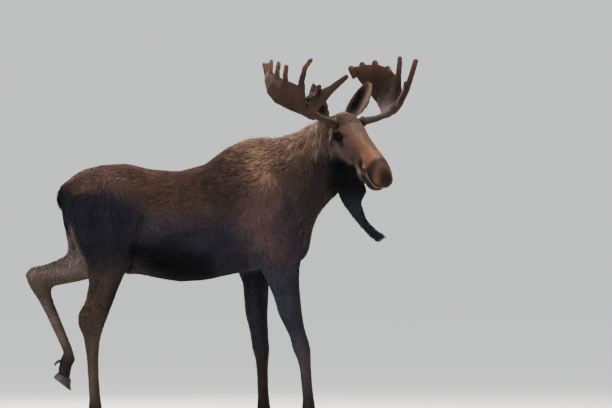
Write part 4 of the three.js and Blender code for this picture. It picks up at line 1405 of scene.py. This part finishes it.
# Eyes: a wet dark brown ball, with a cornea that bulges slightly out of it
def eyeMaterial():
    material, nodes, links, shader = newMaterial("wetEye")
    shader.inputs["Roughness"].default_value = 0.12
    shader.inputs["Specular IOR Level"].default_value = 0.08
    shader.inputs["Coat Weight"].default_value = 0.02
    shader.inputs["Coat Roughness"].default_value = 0.03
    iris = noiseNode(nodes, links, in_Scale=180.0, in_Detail=2.0)
    brown = twoTones(nodes, links, iris.outputs["Fac"], 0, daylight(14, 9, 7), 1, daylight(34, 20, 13))
    links.new(brown, shader.inputs["Base Color"])
    return material


wetEye = eyeMaterial()


def makeEye(name, side):
    centre, _, _, out = eyeAxes(side)
    shape = bmesh.new()
    bmesh.ops.create_uvsphere(shape, u_segments=40, v_segments=24, radius=1.0)
    shape.verts.index_update()
    # Its faces come in another order each run, so they are put in order
    corners = sorted([v.index for v in face.verts] for face in shape.faces)
    mesh = bpy.data.meshes.new(name + "_ball")
    mesh.from_pydata([v.co for v in shape.verts], [], corners)
    shape.free()
    ball = bpy.data.objects.new(name + "_ball", mesh)
    bpy.context.scene.collection.objects.link(ball)
    points = pointsOf(mesh)
    bulge = 1 + eyeMake["bulge"] * ramp(points @ out, 0.75, 1.0)
    setPoints(mesh, fromHead(centre + points * (eyeMake["radius"] * bulge)[:, None]))
    dress(ball, wetEye)
    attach(ball, "root")
    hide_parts(name)


makeEye("eye_right", -1)
makeEye("eye_left", 1)
print("eyes done")


# Hooves and dewclaws: smoothed horn with fine growth rings
def hornMaterial():
    material, nodes, links, shader = newMaterial("horn")
    place = addNode(nodes, "ShaderNodeTexCoord").outputs["Object"]
    stretch = addNode(nodes, "ShaderNodeMapping", in_Scale=(30, 30, 260))
    rings = addNode(nodes, "ShaderNodeTexNoise", in_Scale=1.0, in_Detail=3.0)
    links.new(place, stretch.inputs["Vector"])
    links.new(stretch.outputs["Vector"], rings.inputs["Vector"])
    mask = rings.outputs["Fac"]
    tones = twoTones(nodes, links, mask, 0.3, daylight(23, 20, 19), 0.75, daylight(46, 40, 36))
    links.new(tones, shader.inputs["Base Color"])
    addRelief(nodes, links, shader, mask, 0.4, 0.0008)
    shader.inputs["Roughness"].default_value = 0.55
    return material


horn = hornMaterial()
# Dewclaws: how far each moves in to the leg, and the share of its outer half's length that goes
hornMake = {"voxel": 0.004, "rounds": 9, "moveIn": 0.013, "shorter": 0.35, "reach": 0.06}


# A dewclaw stands against the leg's skin, which lies inside the solid leg
def pullIn(piece, node):
    places = pointsOf(piece.data)
    middle = places.mean(0)
    leg, _, _ = gather([hornLegs[node]], {"all": 0.0})
    near = np.exp(-((np.linalg.norm(leg - middle, axis=1) / hornMake["reach"]) ** 2))
    inward = (leg * near[:, None]).sum(0) / near.sum() - middle
    inward /= np.linalg.norm(inward)
    outside = np.maximum(-(places - middle) @ inward, 0)
    move = hornMake["moveIn"] + outside * hornMake["shorter"]
    setPoints(piece.data, places + move[:, None] * inward)


def makeHorn(node):
    points, faces, _ = gather([node], {"all": 0.0})
    piece = remeshed(node + "_horn", points, faces, hornMake["voxel"])
    # The sole stays flat
    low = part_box(node)[0].z
    loose = ramp(pointsOf(piece.data)[:, 2], low + 0.001, low + 0.006)
    smoothPoints(piece.data, hornMake["rounds"], 0.6 * loose)
    if node.startswith("dewclaw"):
        pullIn(piece, node)
    dress(piece, horn)
    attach(piece, "root")
    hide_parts(node)


for leg in legNames:
    for which in ("outer", "inner"):
        makeHorn(f"hoof_{leg}_{which}")
        makeHorn(f"dewclaw_{leg}_{which}")
print("horn done")


# Floor, light and camera
stageMake = {
    "size": 80,
    "floor": daylight(222, 220, 216),
    "world": daylight(228, 231, 236),
    "sky": 1.15,
    "backdrop": (0.665, 0.672, 0.676),
}
# Lights: name, place, what each aims at, size, power and colour
lightMake = [
    ("key", (1.5, 0.4, 7.0), (0.1, 0.0, 1.3), 2.5, 700, (1.0, 0.96, 0.90)),
    ("fill", (-3.5, -6.5, 2.8), (0.2, 0.0, 1.4), 4.0, 450, (0.97, 0.98, 1.0)),
    ("back", (-2.0, 5.0, 5.0), (0.1, 0.1, 1.4), 3.0, 450, (1.0, 0.96, 0.9)),
]


def makeStage():
    bpy.ops.mesh.primitive_plane_add(size=stageMake["size"], location=(0, 0, 0))
    floor = bpy.context.object
    floor.name = "floor"
    material, _, _, shader = newMaterial("floorPaint")
    shader.inputs["Base Color"].default_value = (*stageMake["floor"], 1)
    shader.inputs["Roughness"].default_value = 0.9
    floor.data.materials.append(material)
    world = bpy.data.worlds.new("studio")
    bpy.context.scene.world = world
    world.use_nodes = True
    nodes, links = world.node_tree.nodes, world.node_tree.links
    sky = nodes["Background"]
    sky.inputs["Color"].default_value = (*stageMake["world"], 1)
    sky.inputs["Strength"].default_value = stageMake["sky"]
    # Behind the animal the sky is as bright as the lit floor, so that no horizon shows
    seen = addNode(nodes, "ShaderNodeBackground", in_Color=(*stageMake["backdrop"], 1))
    mixed = addNode(nodes, "ShaderNodeMixShader")
    links.new(addNode(nodes, "ShaderNodeLightPath").outputs["Is Camera Ray"], mixed.inputs[0])
    links.new(sky.outputs[0], mixed.inputs[1])
    links.new(seen.outputs[0], mixed.inputs[2])
    links.new(mixed.outputs[0], nodes["World Output"].inputs["Surface"])
    bpy.context.scene.view_settings.look = "AgX - Medium High Contrast"


def addLight(name, place, aim, size, power, colour):
    light = bpy.data.lights.new(name, "AREA")
    light.shape = "DISK"
    light.size = size
    light.energy = power
    light.color = colour
    lamp = bpy.data.objects.new(name, light)
    bpy.context.scene.collection.objects.link(lamp)
    lamp.location = place
    lamp.rotation_euler = (Vector(aim) - Vector(place)).to_track_quat("-Z", "Y").to_euler()


# The camera stands square to the animal's right side, far off: lens and sensor in millimetres
cameraMake = {"aim": (0.513, 1.379), "distance": 40.901, "lens": 400, "sensor": 36}


def makeCamera():
    camera = bpy.data.cameras.new("view")
    camera.lens = cameraMake["lens"]
    camera.sensor_width = cameraMake["sensor"]
    camera.clip_end = 300
    holder = bpy.data.objects.new("view", camera)
    bpy.context.scene.collection.objects.link(holder)
    x, z = cameraMake["aim"]
    holder.location = (x, -cameraMake["distance"], z)
    holder.rotation_euler = (math.radians(90), 0, 0)
    bpy.context.scene.camera = holder


makeStage()
for row in lightMake:
    addLight(*row)
makeCamera()
print("stage set")

print("all pieces made")
